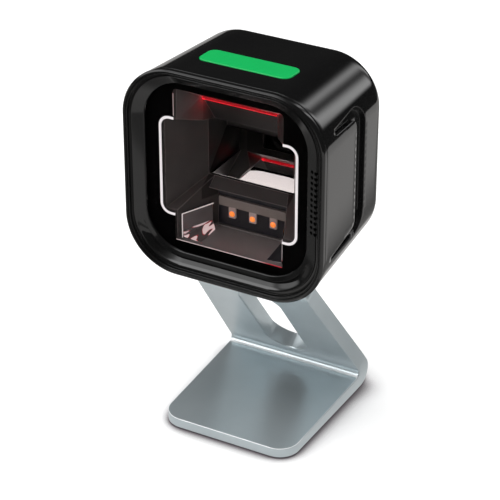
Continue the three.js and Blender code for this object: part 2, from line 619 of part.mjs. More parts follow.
function addHinge() {
  for (const [word, side] of SIDES) {
    const [washerLow, washerHigh] = span(side * (TONGUE.halfW + 0.15), side * (TONGUE.halfW + 0.75));
    add(head, `hinge_bracket_${word}`, buildBracket(side), STEEL);
    add(head, `friction_washer_${word}`, cut(
      pivotRod(3.6, washerLow, washerHigh), pivotRod(PIVOT.pinHoleR, -30, 30)), STEEL);
    for (const [place, y] of Object.entries(HINGE_SCREW.y))
      add(head, `hinge_screw_${word}_${place}`, buildHingeScrew(), STEEL)
        .position.set(side * HINGE_SCREW.x, y, FLANGE.z + FLANGE.thick + CLOSE);
  }
  const end = EAR.x + EAR.thick;
  add(head, "pivot_pin", join(
    pivotRod(PIVOT.pinR, -end - 0.2, end + 2.3), pivotRod(3.2, -end - 1.7, -end - 0.1)), STEEL);
  add(head, "pivot_nut", cut(
    pivotRod(3.1, end + 0.15, end + 2.15, 6), pivotRod(PIVOT.pinHoleR, -30, 30)), STEEL);
}

// ---- Stand ---------------------------------------------------------------------------------------

// The plate's side view: foot, outer bend, leaning arm, top bend and upright tongue.
function plateProfile() {
  const along = new THREE.Vector2(-Math.sin(ARM.lean), Math.cos(ARM.lean));
  const across = new THREE.Vector2(Math.cos(ARM.lean), Math.sin(ARM.lean));
  const inner = new THREE.Vector2(PLATE.bendY, FOOT_LEVEL.topBend);
  const outer = inner.clone().addScaledVector(across, ARM.thick);
  const kink = inner.clone().addScaledVector(along, ARM.length);
  const tongueFront = kink.x - BEND_R.top * (1 - Math.cos(ARM.lean));
  const tongueRear = tongueFront + ARM.thick;
  const heightAt = (from, y) => from.y + (from.x - y) / Math.tan(ARM.lean);
  const toeY = outer.x + (outer.y - FOOT_LEVEL.bottom) * Math.tan(ARM.lean);
  const top = HEAD.axisZ + PIVOT.z;
  return roundedShape([
    [PLATE.frontY, FOOT_LEVEL.bottom, BEND_R.edge],
    [toeY, FOOT_LEVEL.bottom, BEND_R.outer],
    [tongueRear, heightAt(outer, tongueRear), BEND_R.top - ARM.thick],
    [tongueRear, top],
    [tongueFront, top],
    [tongueFront, heightAt(inner, tongueFront), BEND_R.top],
    [PLATE.bendY, FOOT_LEVEL.topBend, BEND_R.inner],
    [PLATE.frontY, FOOT_LEVEL.topFront, BEND_R.edge],
  ]);
}

// The plate seen from above.
function planShape() {
  const { frontY, bendY, halfWFront, halfWBend, frontR } = PLATE;
  const rearY = 60;
  return roundedShape([
    [-halfWFront, frontY, frontR], [halfWFront, frontY, frontR], [halfWBend, bendY, BEND_R.blend],
    [halfWBend, rearY], [-halfWBend, rearY], [-halfWBend, bendY, BEND_R.blend],
  ]);
}

// The plate seen from the front: it narrows up the arm, and again to the tongue.
function frontShape() {
  const { halfWBend, halfWArm } = PLATE;
  const { halfW, shoulderZ, shoulderR, rootR } = TONGUE;
  const armTop = FOOT_LEVEL.topBend + ARM.length * Math.cos(ARM.lean);
  const right = [
    [halfWBend, -5], [halfWBend, FOOT_LEVEL.topBend, BEND_R.blend], [halfWArm, armTop, BEND_R.blend],
    [halfWArm, shoulderZ, shoulderR], [halfW, shoulderZ, rootR], [halfW, HEAD.axisZ],
  ];
  return roundedShape([...right, ...right.map(([u, v, r]) => [-u, v, r]).reverse()]);
}

function slotCutter() {
  const shape = rectangle(-SLOT.halfW, SLOT.halfW, SLOT.start, SLOT.end, SLOT.halfW - 0.01);
  const cutter = prism(shape, "xy", -2 * ARM.thick, ARM.thick / 2, FINE_STEPS + 2);
  cutter.rotateX(Math.PI / 2 + ARM.lean);
  return cutter.translate(0, PLATE.bendY, FOOT_LEVEL.topBend);
}

// The foot pad's outline, in the recess under the plate.
function padShape(inset) {
  const { frontY, halfWFront, halfWBend, frontR } = PLATE;
  const rearY = PAD.rearY - inset;
  return roundedShape([
    [-halfWFront + inset, frontY + inset, frontR - inset],
    [halfWFront - inset, frontY + inset, frontR - inset],
    [halfWBend - inset, rearY, PAD.rearR],
    [-halfWBend + inset, rearY, PAD.rearR],
  ]);
}

function buildPlate() {
  const pivotAt = (x) => [x, HEAD.rimY + PIVOT.y, HEAD.axisZ + PIVOT.z];
  const bent = prism(plateProfile(), "yz", -40, 40, FINE_STEPS);
  const plan = prism(planShape(), "xy", -5, 90, FINE_STEPS);
  const front = prism(frontShape(), "xz", -60, 60, FINE_STEPS - 1);
  const knuckle = rod(PIVOT.knuckleR, 2 * TONGUE.halfW, ALONG_X, pivotAt(-TONGUE.halfW), 32);
  return cut(
    join(common(bent, plan, front), knuckle),
    slotCutter(),
    rod(PIVOT.boreR, 60, ALONG_X, pivotAt(-30), 24),
    prism(padShape(PAD.inset), "xy", -5, PAD.recess, FINE_STEPS - 1),
  );
}

function addStand() {
  add(scanner, "stand_plate", buildPlate(), SATIN_METAL);
  const pad = padShape(PAD.inset + PAD.gap);
  add(scanner, "foot_pad", prism(pad, "xy", 0, PAD.thick, FINE_STEPS - 1), RUBBER);
}

// ---- Assembly ------------------------------------------------------------------------------------

addFront();
add(head, "optical_chassis", buildChassis(), MATT_BLACK);
addMirrors();
addIllumination();
addCamera();
addElectronics();
addLabel();
addCaseScrews();
addButton();
addHinge();
addStand();

export default scanner;
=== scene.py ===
"""A compact presentation barcode scanner on a bent metal stand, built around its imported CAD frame."""

import json
import math

import bmesh
import bpy
import numpy as np
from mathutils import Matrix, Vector
from mathutils.geometry import delaunay_2d_cdt


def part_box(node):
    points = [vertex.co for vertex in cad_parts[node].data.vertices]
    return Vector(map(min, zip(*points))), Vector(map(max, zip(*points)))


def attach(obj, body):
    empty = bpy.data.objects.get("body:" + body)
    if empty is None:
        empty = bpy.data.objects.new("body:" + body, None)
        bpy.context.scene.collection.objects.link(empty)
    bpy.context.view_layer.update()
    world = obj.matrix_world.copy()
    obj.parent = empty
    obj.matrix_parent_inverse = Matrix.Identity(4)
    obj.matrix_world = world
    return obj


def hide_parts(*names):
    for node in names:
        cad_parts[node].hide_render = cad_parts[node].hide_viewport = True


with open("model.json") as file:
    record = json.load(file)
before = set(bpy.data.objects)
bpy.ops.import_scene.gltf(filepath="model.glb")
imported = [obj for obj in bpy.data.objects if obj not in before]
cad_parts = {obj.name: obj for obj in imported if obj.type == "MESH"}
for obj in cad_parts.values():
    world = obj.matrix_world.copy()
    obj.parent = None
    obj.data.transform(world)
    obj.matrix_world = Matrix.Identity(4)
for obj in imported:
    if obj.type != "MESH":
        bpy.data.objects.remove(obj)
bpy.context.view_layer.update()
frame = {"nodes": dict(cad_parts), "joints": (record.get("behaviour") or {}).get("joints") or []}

MM = 0.001
WELD = 1e-6  # points closer than this, in metres, are one point

# ---- Places, taken from the frame ----

BEZEL_LOW, BEZEL_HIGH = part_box("front_bezel")
RIM_Y = BEZEL_LOW.y / MM  # the head's frame starts at the front rim
AXIS_Z = (BEZEL_LOW.z + BEZEL_HIGH.z) / 2 / MM
HALF_W = BEZEL_HIGH.x / MM
HALF_H = (BEZEL_HIGH.z - BEZEL_LOW.z) / 2 / MM
TILT = next(j for j in frame["joints"] if j["name"] == "head_tilt")
PIVOT_Y, PIVOT_Z = TILT["pos_m"][1] / MM, TILT["pos_m"][2] / MM

# ---- Dimensions, in millimetres in the head's frame ----

CORNER_R = 20.5
APEX = 620.0
WALL = 2.2
SEAM_Y = 2.65
REAR_Y, REAR_R, REAR_CROWN = 48.0, 6.5, 1.2
WINDOW = dict(hw=32.0, hh=33.0, r=15.5, cz=1.8)
GLASS_Y, GLASS_T = 3.2, 1.6
BUTTON_W, BUTTON_L, BUTTON_Y = 17.9, 5.7, 20.5
CLEAR = dict(wide=26.5, neck=21.7, top=31.4, shoulder_top=19.3, shoulder_low=-17.6, bottom=-28.4)
HINGE_SLOT = (-16.1, 16.1, 14.95, 27.15, 2.0)  # left, right, front, rear, corner radius
VENT_COLUMNS, VENT_COUNT, VENT_TOP, VENT_PITCH, VENT_R = (34.4, 36.1), 12, 14.2, 2.13, 0.66
SIDES = (("left", -1), ("right", 1))

# The bezel's face as corners (distance in from the outline, depth, radius), from outside to the window.
RIM = [(0.32, 2.4, 0), (0.0, 2.1, 0.15), (0.0, 0.7, 0.4), (0.6, 0.0, 0.35), (1.1, 0.0, 0.12),
       (1.25, 0.5, 0.08), (1.42, 0.5, 0.08), (1.55, 0.12, 0.12), (1.95, 0.12, 0.15), (2.1, 1.35, 0.1),
       (3.0, 1.35, 0.1), (3.12, 0.7, 0.16), (7.15, 2.65, 0.25), (7.35, 3.15, 0)]
# The chin's scoop starts this far below the middle. Its extra depth, by the distance in from the outline.
SCOOP_Z = 21.5
SCOOP = [3.4, 3.6, 5.62, 5.67, 5.83, 5.9], [0, -0.1, 1.5, 1.5, 0.05, 0]


# ---- Mesh helpers ----

def put(name, verts, faces, sharp=35.0):
    """A mesh object from points in millimetres in the row frame."""
    mesh = bpy.data.meshes.new(name)
    mesh.from_pydata([tuple(float(c) * MM for c in v) for v in verts], [], [tuple(f) for f in faces])
    return link(name, mesh, sharp)


def shade(mesh, sharp):
    """Smooth shading, broken at edges sharper than an angle in degrees."""
    mesh.polygons.foreach_set("use_smooth", [True] * len(mesh.polygons))
    mesh.set_sharp_from_angle(angle=math.radians(sharp))


def link(name, mesh, sharp=35.0):
    mesh.validate()
    shade(mesh, sharp)
    obj = bpy.data.objects.new(name, mesh)
    bpy.context.scene.collection.objects.link(obj)
    return obj


def in_head(points):
    """Points of the head's frame, moved to the row frame."""
    return np.asarray(points, float).reshape(-1, 3) + np.array([0.0, RIM_Y, AXIS_Z])


def edit(obj, work):
    """Runs work on obj's mesh as a bmesh."""
    bm = bmesh.new()
    bm.from_mesh(obj.data)
    work(bm)
    bm.to_mesh(obj.data)
    bm.free()
    obj.data.update()


def face_outwards(obj):
    edit(obj, lambda bm: bmesh.ops.recalc_face_normals(bm, faces=bm.faces))
    return obj


def baked(obj):
    """The mesh that obj shows, with its modifiers applied."""
    graph = bpy.context.evaluated_depsgraph_get()
    return bpy.data.meshes.new_from_object(obj.evaluated_get(graph))


def boolean(obj, other, operation, sharp=35.0):
    """Cuts obj by other, or joins it on, and removes other."""
    modifier = obj.modifiers.new("boolean", "BOOLEAN")
    modifier.operation, modifier.object, modifier.solver = operation, other, "EXACT"
    bpy.context.view_layer.update()
    mesh = baked(obj)
    obj.modifiers.clear()
    obj.data = mesh
    shade(mesh, sharp)
    bpy.data.objects.remove(other)


def merged(name, objects):
    """One object from several."""
    bm = bmesh.new()
    for o in objects:
        bm.from_mesh(o.data)
        bpy.data.objects.remove(o)
    mesh = bpy.data.meshes.new(name)
    bm.to_mesh(mesh)
    bm.free()
    return link(name, mesh)


def flat_normals(obj, keep_sharp=True):
    obj.modifiers.new("normals", "WEIGHTED_NORMAL").keep_sharp = keep_sharp
    return obj


def soften(obj, width):
    """Rounded edges on a crisp mesh."""
    obj.modifiers.new("weld", "WELD").merge_threshold = WELD
    bevel = obj.modifiers.new("bevel", "BEVEL")
    bevel.width, bevel.segments = width * MM, 2
    bevel.limit_method, bevel.angle_limit = "ANGLE", math.radians(40)
    return flat_normals(obj, keep_sharp=False)


def rounded(corners, steps=8):
    """A polygon through corners (u, v, radius)."""
    out = []
    for i, (u, v, r) in enumerate(corners):
        here = np.array([u, v], float)
        a = np.array(corners[i - 1][:2], float) - here
        b = np.array(corners[(i + 1) % len(corners)][:2], float) - here
        a, b = a / np.linalg.norm(a), b / np.linalg.norm(b)
        if r <= 0:
            out.append(here)
            continue
        half = math.acos(float(np.clip(a @ b, -1, 1))) / 2
        middle = (a + b) / np.linalg.norm(a + b)
        centre = here + middle * (r / math.sin(half))
        start, end = (here + way * (r / math.tan(half)) - centre for way in (a, b))
        t0 = math.atan2(start[1], start[0])
        turn = (math.atan2(end[1], end[0]) - t0 + math.pi) % (2 * math.pi) - math.pi
        out += [centre + point for point in circle(r, t0 + turn * np.linspace(0, 1, steps + 1))]
    return np.array(out)


def circle(r, angles):
    return r * np.stack([np.cos(angles), np.sin(angles)], 1)


def ring_of(centre, r, count):
    """A regular polygon round a point (u, v)."""
    return np.asarray(centre) + circle(r, np.linspace(0, 2 * math.pi, count, endpoint=False))


def rect(u0, u1, v0, v1, r=0.0):
    """The corners of a rectangle, for rounded()."""
    return [(u0, v0, r), (u1, v0, r), (u1, v1, r), (u0, v1, r)]


def mirrored(right):
    """A symmetric outline from the corners of its right half, lowest first."""
    return right + [(-u, v, r) for u, v, r in right[::-1]]


def prism(name, polygon, low, high, place):
    """A polygon extruded from low to high. place(u, v, w) gives a point of the row frame in mm."""
    n = len(polygon)
    verts = [place(u, v, w) for w in (low, high) for u, v in polygon]
    faces = [list(range(n))[::-1], [n + i for i in range(n)]]
    faces += [[i, (i + 1) % n, n + (i + 1) % n, n + i] for i in range(n)]
    return face_outwards(put(name, verts, faces))


def plate(name, rings, thickness, bevel, place=None, steps=3):
    """A flat plate with rounded edges from an outline and any holes. w runs through it from its middle."""
    curve = bpy.data.curves.new(name, "CURVE")
    curve.dimensions, curve.fill_mode = "2D", "BOTH"
    curve.extrude = (thickness / 2 - bevel) * MM
    curve.bevel_depth, curve.bevel_resolution, curve.offset = bevel * MM, steps, -bevel * MM
    for ring in rings:
        spline = curve.splines.new("POLY")
        spline.points.add(len(ring) - 1)
        for point, (u, v) in zip(spline.points, ring):
            point.co = (u * MM, v * MM, 0, 1)
        spline.use_cyclic_u = True
    temporary = bpy.data.objects.new(name, curve)
    bpy.context.scene.collection.objects.link(temporary)
    mesh = baked(temporary)
    bpy.data.objects.remove(temporary)
    obj = link(name, mesh)
    edit(obj, lambda bm: bmesh.ops.remove_doubles(bm, verts=bm.verts, dist=WELD))
    face_outwards(obj)
    return reshape(obj, place) if place else obj


def reshape(obj, place):
    """Moves each vertex (u, v, w) in mm to place(u, v, w)."""
    for vertex in obj.data.vertices:
        vertex.co = Vector(place(*(c / MM for c in vertex.co))) * MM
    return face_outwards(obj)


def front_plane(y):
    """Places a shape drawn in (x, z) at a depth behind the rim, its thickness along the depth."""
    return lambda u, v, w: (u, RIM_Y + y + w, AXIS_Z + v)


def paint(obj, material):
    obj.data.materials.clear()
    obj.data.materials.append(material)


def finish_piece(obj, material, body, replaces=()):
    """Gives a piece its material, and says what it rides on and which CAD nodes it stands for."""
    paint(obj, material)
    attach(obj, body)
    if replaces:
        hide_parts(*replaces)


# ---- Materials ----

class Nodes:
    """The node tree of a material or a world, with short ways to add what the finishes here share."""

    def __init__(self, owner):
        owner.use_nodes = True
        self.tree = owner.node_tree
        self.shader = self.tree.nodes.get("Principled BSDF")
        self.output = self.tree.nodes.get("Material Output")

    def add(self, kind, **values):
        """A new node. Each value sets the input of that name, or else the property."""
        node = self.tree.nodes.new(kind)
        for key, value in values.items():
            if key in node.inputs:
                node.inputs[key].default_value = value
            else:
                setattr(node, key, value)
        return node

    def join(self, a, b):
        self.tree.links.new(a, b)

    def give(self, **values):
        """Sets inputs of the main shader, a socket or a value each. Words in a name are joined by _."""
        for key, value in values.items():
            self.feed(self.shader.inputs[key.replace("_", " ")], value)

    def feed(self, socket, value):
        """Joins a socket to another, or sets it to a number or a colour."""
        if isinstance(value, (int, float)):
            socket.default_value = value
        elif isinstance(value, tuple):
            socket.default_value = (*value, 1)
        else:
            self.join(value, socket)

    def coordinates(self, kind):
        return self.add("ShaderNodeTexCoord").outputs[kind]

    def split(self, vector):
        node = self.add("ShaderNodeSeparateXYZ")
        self.join(vector, node.inputs[0])
        return node.outputs

    def ray_is(self, kind):
        return self.add("ShaderNodeLightPath").outputs[f"Is {kind} Ray"]

    def noise(self, scale, detail=3.0, stretch=None):
        texture = self.add("ShaderNodeTexNoise", Scale=scale, Detail=detail)
        source = self.coordinates("Object")
        if stretch:
            mapping = self.add("ShaderNodeMapping", Scale=stretch)
            self.join(source, mapping.inputs["Vector"])
            source = mapping.outputs["Vector"]
        self.join(source, texture.inputs["Vector"])
        return texture.outputs["Fac"]

    def ramp(self, value, start, end, low, high, shape="SMOOTHSTEP"):
        """A change from low to high as value goes from start to end."""
        node = self.add("ShaderNodeMapRange", interpolation_type=shape)
        for name, number in (("From Min", start), ("From Max", end), ("To Min", low), ("To Max", high)):
            node.inputs[name].default_value = number
        self.join(value, node.inputs["Value"])
        return node.outputs["Result"]

    def between(self, noise, low, high):
        """A number from low to high over the range that a noise covers."""
        return self.ramp(noise, 0.3, 0.7, low, high, "LINEAR")

    def colours(self, factor, low, high):
        """From one colour to another. Each is a tuple or a socket."""
        node = self.add("ShaderNodeMix", data_type="RGBA")
        for socket, colour in zip([i for i in node.inputs if i.type == "RGBA"], (low, high)):
            self.feed(socket, colour)
        self.join(factor, node.inputs["Factor"])
        return next(o for o in node.outputs if o.type == "RGBA")

    def maths(self, operation, a, b=0.0):
        node = self.add("ShaderNodeMath", operation=operation)
        for socket, value in zip(node.inputs, (a, b)):
            self.feed(socket, value)
        return node.outputs[0]

    def product(self, first, *others):
        for other in others:
            first = self.maths("MULTIPLY", first, other)
        return first

    def bell(self, value, centre, width):
        """A Gaussian bump of height 1 round a centre."""
        off = self.maths("DIVIDE", self.maths("SUBTRACT", value, centre), width)
        return self.maths("EXPONENT", self.product(off, off, -1.0))

    def blend(self, factor, first, second):
        """The surface: one shader, or a second one by a factor."""
        mix = self.add("ShaderNodeMixShader")
        for socket, value in zip(mix.inputs, (factor, first.outputs[0], second.outputs[0])):
            self.join(value, socket)
        self.join(mix.outputs[0], self.output.inputs["Surface"])

    def bump(self, height, strength, distance):
        node = self.add("ShaderNodeBump", Strength=strength, Distance=distance * MM)
        self.join(height, node.inputs["Height"])
        self.join(node.outputs["Normal"], self.shader.inputs["Normal"])


def new_material(name):
    """A new material and its nodes."""
    material = bpy.data.materials.new(name)
    return material, Nodes(material)


def moulded(name, low, high, rough, grain=0.0, grain_mm=0.5, coat=0.0, specular=0.5, emission=0.0):
    """Moulded plastic or rubber: a slightly uneven colour and gloss, with a fine grain."""
    material, n = new_material(name)
    colour = n.colours(n.between(n.noise(60.0), 0, 1), low, high)
    n.give(Base_Color=colour, Roughness=n.between(n.noise(300.0), rough * 0.9, rough * 1.12),
           Specular_IOR_Level=specular, Coat_Weight=coat, Coat_Roughness=0.03)
    if grain:
        n.bump(n.noise(1 / (grain_mm * MM), 2.0), grain, 0.05)
    if emission:
        n.give(Emission_Color=colour, Emission_Strength=emission)
    return material


def metal(name, low, high, rough, stretch=None, grain=0.1):
    """Metal with a fine blasted or brushed surface."""
    material, n = new_material(name)
    n.give(Base_Color=n.colours(n.between(n.noise(35.0), 0, 1), low, high), Metallic=1.0,
           Roughness=n.between(n.noise(180.0, 4.0, stretch), rough * 0.92, rough * 1.1))
    n.bump(n.noise(2600.0, 3.0, stretch), grain, 0.02)
    return material


def stand_finish(name):
    """Blasted metal, with a painted highlight on the foot's chamfer and in the bend, where the metal catches
    the light.
    """
    material = metal(name, (0.47, 0.535, 0.56), (0.52, 0.58, 0.605), 0.31)
    n = Nodes(material)
    height = n.split(n.coordinates("Object"))[2]
    facing_up = n.split(n.add("ShaderNodeNewGeometry").outputs["Normal"])[2]
    chamfer = n.product(n.ramp(height, 4.7 * MM, 4.5 * MM, 0, 1), n.ramp(facing_up, 0.3, 0.5, 0, 1),
                        n.ramp(facing_up, 0.98, 0.9, 0, 1))
    bend = n.product(n.ramp(height, 7.8 * MM, 7.4 * MM, 0, 1), n.ramp(facing_up, 0.64, 0.74, 0, 1),
                     n.ramp(facing_up, 0.985, 0.9, 0, 1))
    painted_highlight = n.maths("MAXIMUM", chamfer, bend)
    plain = n.shader.inputs["Base Color"].links[0].from_socket
    n.give(Base_Color=n.colours(painted_highlight, plain, (0.93, 0.95, 0.96)), Metallic=n.ramp(painted_highlight, 0, 1, 0.6, 0.1))
    return material


def pane(name, tint, reflect):
    """Thin clear glass that light passes straight through, with a weak reflection on its front."""
    material, n = new_material(name)
    n.tree.nodes.remove(n.shader)
    fresnel = n.add("ShaderNodeFresnel", IOR=1.5).outputs["Fac"]
    smear = n.between(n.noise(45.0), 0.85 * reflect, 1.1 * reflect)
    front = n.maths("SUBTRACT", 1.0, n.add("ShaderNodeNewGeometry").outputs["Backfacing"])
    n.blend(n.product(fresnel, smear, front), n.add("ShaderNodeBsdfTransparent", Color=(*tint, 1)),
            n.add("ShaderNodeBsdfGlossy", Roughness=0.0))
    return material


def glowing_bar(name):
    """A red light guide that lights the walls near it, with a bright line that is brightest at its left."""
    material, n = new_material(name)
    x, _, z = n.split(n.coordinates("Generated"))
    line = n.ramp(z, 0.62, 0.44, 0.06, 0.95)
    uneven = n.between(n.noise(420.0), 0.45, 1.25)
    # The brighter left end is a painted glint.
    seen = n.product(line, uneven, n.ramp(x, 0.05, 0.0, 1.0, 3.2))
    cast = n.product(n.ray_is("Diffuse"), 45.0)
    n.give(Base_Color=n.colours(n.noise(60.0), (0.35, 0.002, 0.006), (0.45, 0.004, 0.01)), Roughness=0.2,
           Emission_Color=n.colours(n.noise(300.0), (1.0, 0.004, 0.02), (1.0, 0.03, 0.05)),
           Emission_Strength=n.maths("ADD", seen, cast))
    return material


def chassis_finish(name):
    """Dark moulded plastic, with painted highlights on its edges, painted light on the floor and painted
    shade on the ceiling and the sill.
    """
    material, n = new_material(name)
    low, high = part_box("optical_chassis")
    floor_z = (AXIS_Z - 27.6 - low.z / MM) / ((high.z - low.z) / MM)
    floor = n.ramp(n.split(n.coordinates("Generated"))[2], floor_z, floor_z - 0.03, 0, 1)
    cloud = n.between(n.noise(60.0), 0, 1)
    # Painted light: the floor is given a lighter colour than the walls.
    colour = n.colours(floor, n.colours(cloud, (0.04, 0.0375, 0.036), (0.054, 0.05, 0.048)),
                       n.colours(cloud, (0.15, 0.145, 0.143), (0.18, 0.174, 0.172)))
    x, _, z = n.split(n.coordinates("Object"))
    aside = n.maths("ABSOLUTE", x)
    up = n.maths("SUBTRACT", z, AXIS_Z * MM)
    # Painted shade: the ceiling and the sill are darkened and reflect less.
    ceiling = n.product(n.ramp(aside, 14.8 * MM, 14.6 * MM, 0, 0.6), n.ramp(up, 13 * MM, 15 * MM, 0, 1))
    sill = n.product(n.ramp(aside, 17.3 * MM, 17.1 * MM, 0, 0.6), n.ramp(up, -17 * MM, -16 * MM, 0, 1),
                     n.ramp(up, -7 * MM, -8 * MM, 0, 1))
    shaded = n.maths("ADD", ceiling, sill)
    colour = n.colours(shaded, colour, (0.006, 0.005, 0.005))
    # Painted highlight: the edges that the bevel node finds are made lighter.
    match = n.add("ShaderNodeVectorMath", operation="DOT_PRODUCT")
    n.join(n.add("ShaderNodeBevel", Radius=0.3 * MM, samples=6).outputs[0], match.inputs[0])
    n.join(n.add("ShaderNodeNewGeometry").outputs["Normal"], match.inputs[1])
    painted_edge_highlight = n.ramp(match.outputs["Value"], 0.99, 0.88, 0, 0.75)
    n.give(Base_Color=n.colours(painted_edge_highlight, colour, (0.3, 0.27, 0.26)), Roughness=n.ramp(floor, 0, 1, 0.3, 0.5),
           Specular_IOR_Level=n.ramp(shaded, 0, 0.6, 0.22, 0.06))
    n.bump(n.noise(2000.0, 2.0), 0.05, 0.05)
    return material


def lit_edge(name):
    """A painted highlight along a cut edge, light that turns red towards its right end."""
    material, n = new_material(name)
    painted_highlight = n.colours(n.noise(240.0), (0.45, 0.36, 0.36), (0.8, 0.72, 0.72))
    right = n.ramp(n.split(n.coordinates("Generated"))[0], 0.74, 0.9, 0, 1)
    tone = n.colours(right, painted_highlight, (0.6, 0.01, 0.03))
    n.give(Base_Color=tone, Emission_Color=tone, Emission_Strength=0.55)
    return material


def painted_reflection_streaks(name):
    """A mirrored facet with a painted reflection of the window and the red guide, broken into streaks."""
    material, n = new_material(name)
    streaks = n.noise(230.0, 1.0, (1.5, 0.3, 2.0))
    tone = n.colours(streaks, (0.03, 0.026, 0.026), (0.09, 0.07, 0.07))
    for start, end, low, high in (
            (0.49, 0.51, (0.2, 0.015, 0.02), (0.4, 0.03, 0.04)),
            (0.515, 0.53, (0.5, 0.3, 0.3), (0.85, 0.74, 0.73))):
        tone = n.colours(n.ramp(streaks, start, end, 0, 1), tone, n.colours(streaks, low, high))
    n.give(Base_Color=tone, Emission_Color=tone, Emission_Strength=0.8, Metallic=0.6, Roughness=0.1)
    return material


GLOSS_BLACK = moulded("gloss_black", (0.0035, 0.0035, 0.0037), (0.005, 0.005, 0.005), 0.07, 0.02, 1.2)
BEZEL_BLACK = moulded("bezel_black", (0.004, 0.004, 0.004), (0.006, 0.006, 0.006), 0.07, 0.02, 0.22)
SATIN_BLACK = moulded("satin_black", (0.010, 0.010, 0.010), (0.014, 0.014, 0.014), 0.2, 0.03, 0.4)
CHASSIS_BLACK = chassis_finish("chassis_black")
RUBBER = moulded("rubber_black", (0.012, 0.012, 0.012), (0.02, 0.02, 0.02), 0.75, 0.35, 0.35)
MASK_BLACK = moulded("mask_black", (0.0008, 0.0008, 0.0009), (0.0014, 0.0014, 0.0014), 0.6, specular=0.02)
# The print's glow is painted light.
WHITE_PRINT = moulded("white_print", (0.72, 0.73, 0.74), (0.8, 0.81, 0.82), 0.4, 0.0, emission=0.35)
GREEN = moulded("indicator_green", (0.0, 0.315, 0.068), (0.001, 0.335, 0.075), 0.35, 0.03, 0.8, emission=0.45)
STAND_METAL = stand_finish("stand_metal")
STEEL = metal("fixing_steel", (0.55, 0.55, 0.56), (0.64, 0.64, 0.65), 0.28, (1, 8, 1))
MIRROR = metal("mirror", (0.82, 0.82, 0.84), (0.86, 0.86, 0.88), 0.02, grain=0.0)
FOLD_MIRROR = metal("fold_mirror", (0.4, 0.395, 0.385), (0.43, 0.42, 0.41), 0.02, grain=0.0)
# A painted reflection on the left mirror facet.
FACET_PAINTED_REFLECTION = painted_reflection_streaks("mirror_facet")
WINDOW_GLASS = pane("window_glass", (0.93, 0.91, 0.91), 0.06)
LENS_GLASS = pane("lens_glass", (0.7, 0.6, 0.75), 1.0)
BOARD_BLUE = moulded("board_blue", (0.009, 0.011, 0.018), (0.03, 0.03, 0.034), 0.3)
BOARD_GREEN = moulded("board_green", (0.008, 0.06, 0.03), (0.012, 0.09, 0.045), 0.35)
CHIP = moulded("chip_black", (0.012, 0.012, 0.013), (0.02, 0.02, 0.022), 0.4, 0.1, 0.3)
AMBER = moulded("amber_light", (1.0, 0.17, 0.012), (1.0, 0.3, 0.06), 0.2, coat=1.0, emission=0.85)
PACKAGE = moulded("led_package", (0.22, 0.15, 0.13), (0.5, 0.42, 0.4), 0.15, 0.3, 0.3, 1.0, emission=0.12)
RED = glowing_bar("red_light")
# A glowing strip that is a painted highlight on the film's cut edge.
FILM_EDGE_HIGHLIGHT = lit_edge("film_edge")
# A glowing strip that is a painted highlight on the mirror's edges.
MIRROR_EDGE_HIGHLIGHT = moulded("mirror_edge", (0.6, 0.56, 0.55), (0.85, 0.82, 0.8), 0.4, emission=0.45)
DIFFUSER = moulded("grey_diffuser", (0.2, 0.175, 0.155), (0.25, 0.215, 0.195), 0.35)
FLEX = moulded("flex_amber", (0.3, 0.13, 0.02), (0.4, 0.18, 0.03), 0.35)
LABEL = moulded("label_grey", (0.4, 0.41, 0.42), (0.46, 0.47, 0.48), 0.4, 0.05, 0.4)

CAD_FINISH = [
    (RUBBER, "window_gasket foot_pad"), (FOLD_MIRROR, "fold_mirror"),
    (MIRROR, "side_mirror_left side_mirror_right"),
    (BOARD_BLUE, "led_board"), (BOARD_GREEN, "imager_board main_board indicator_board"),
    (AMBER, "led_left led_middle led_right"), (DIFFUSER, "light_pipe"), (RED, "aiming_bar"),
    (CHIP, "image_sensor cable_socket speaker button_switch"), (FLEX, "led_flex"),
    (SATIN_BLACK, "lens_barrel"),
    (LENS_GLASS, "imager_lens"), (CHASSIS_BLACK, "optical_chassis"), (LABEL, "rating_label"),
    (GREEN, "indicator_led_left indicator_led_right indicator_button"), (GLOSS_BLACK, "rear_housing"),
    (BEZEL_BLACK, "front_bezel"), (WINDOW_GLASS, "window_glass"), (MASK_BLACK, "window_mask"),
    (STAND_METAL, "stand_plate"),
]
for cad_obj in frame["nodes"].values():
    paint(cad_obj, STEEL)
for finish, cad_nodes in CAD_FINISH:
    for cad_node in cad_nodes.split():
        paint(frame["nodes"][cad_node], finish)


# ---- Head: housing ----

def outline_samples():
    """The head's outline as rows (a, b, nx, nz): a point is (a*(w-r) + r*nx, b*(h-r) + r*nz)."""
    rows = []
    for quarter, (sx, sz) in enumerate([(1, 1), (-1, 1), (-1, -1), (1, -1)]):
        turn = quarter * math.pi / 2
        rows += [(sx, sz, math.cos(turn + t), math.sin(turn + t)) for t in np.linspace(0, math.pi / 2, 33)]
        if quarter % 2 == 0:
            rows += [(sx * f, sz, 0, sz) for f in np.linspace(0.95, -0.95, 25)]
        else:
            rows += [(sx, sz * f, sx, 0) for f in np.linspace(0.95, -0.95, 15)]
    return np.array(rows)


def outline_points(samples, hw, hh, r, cz=0.0):
    a, b, nx, nz = samples.T
    return np.stack([a * (hw - r) + r * nx, cz + b * (hh - r) + r * nz], 1)


def section(y, inset=0.0):
    k = 1 - y / APEX
    return dict(hw=HALF_W * k - inset, hh=HALF_H * k - inset, r=max(CORNER_R * k - inset, 0.6))


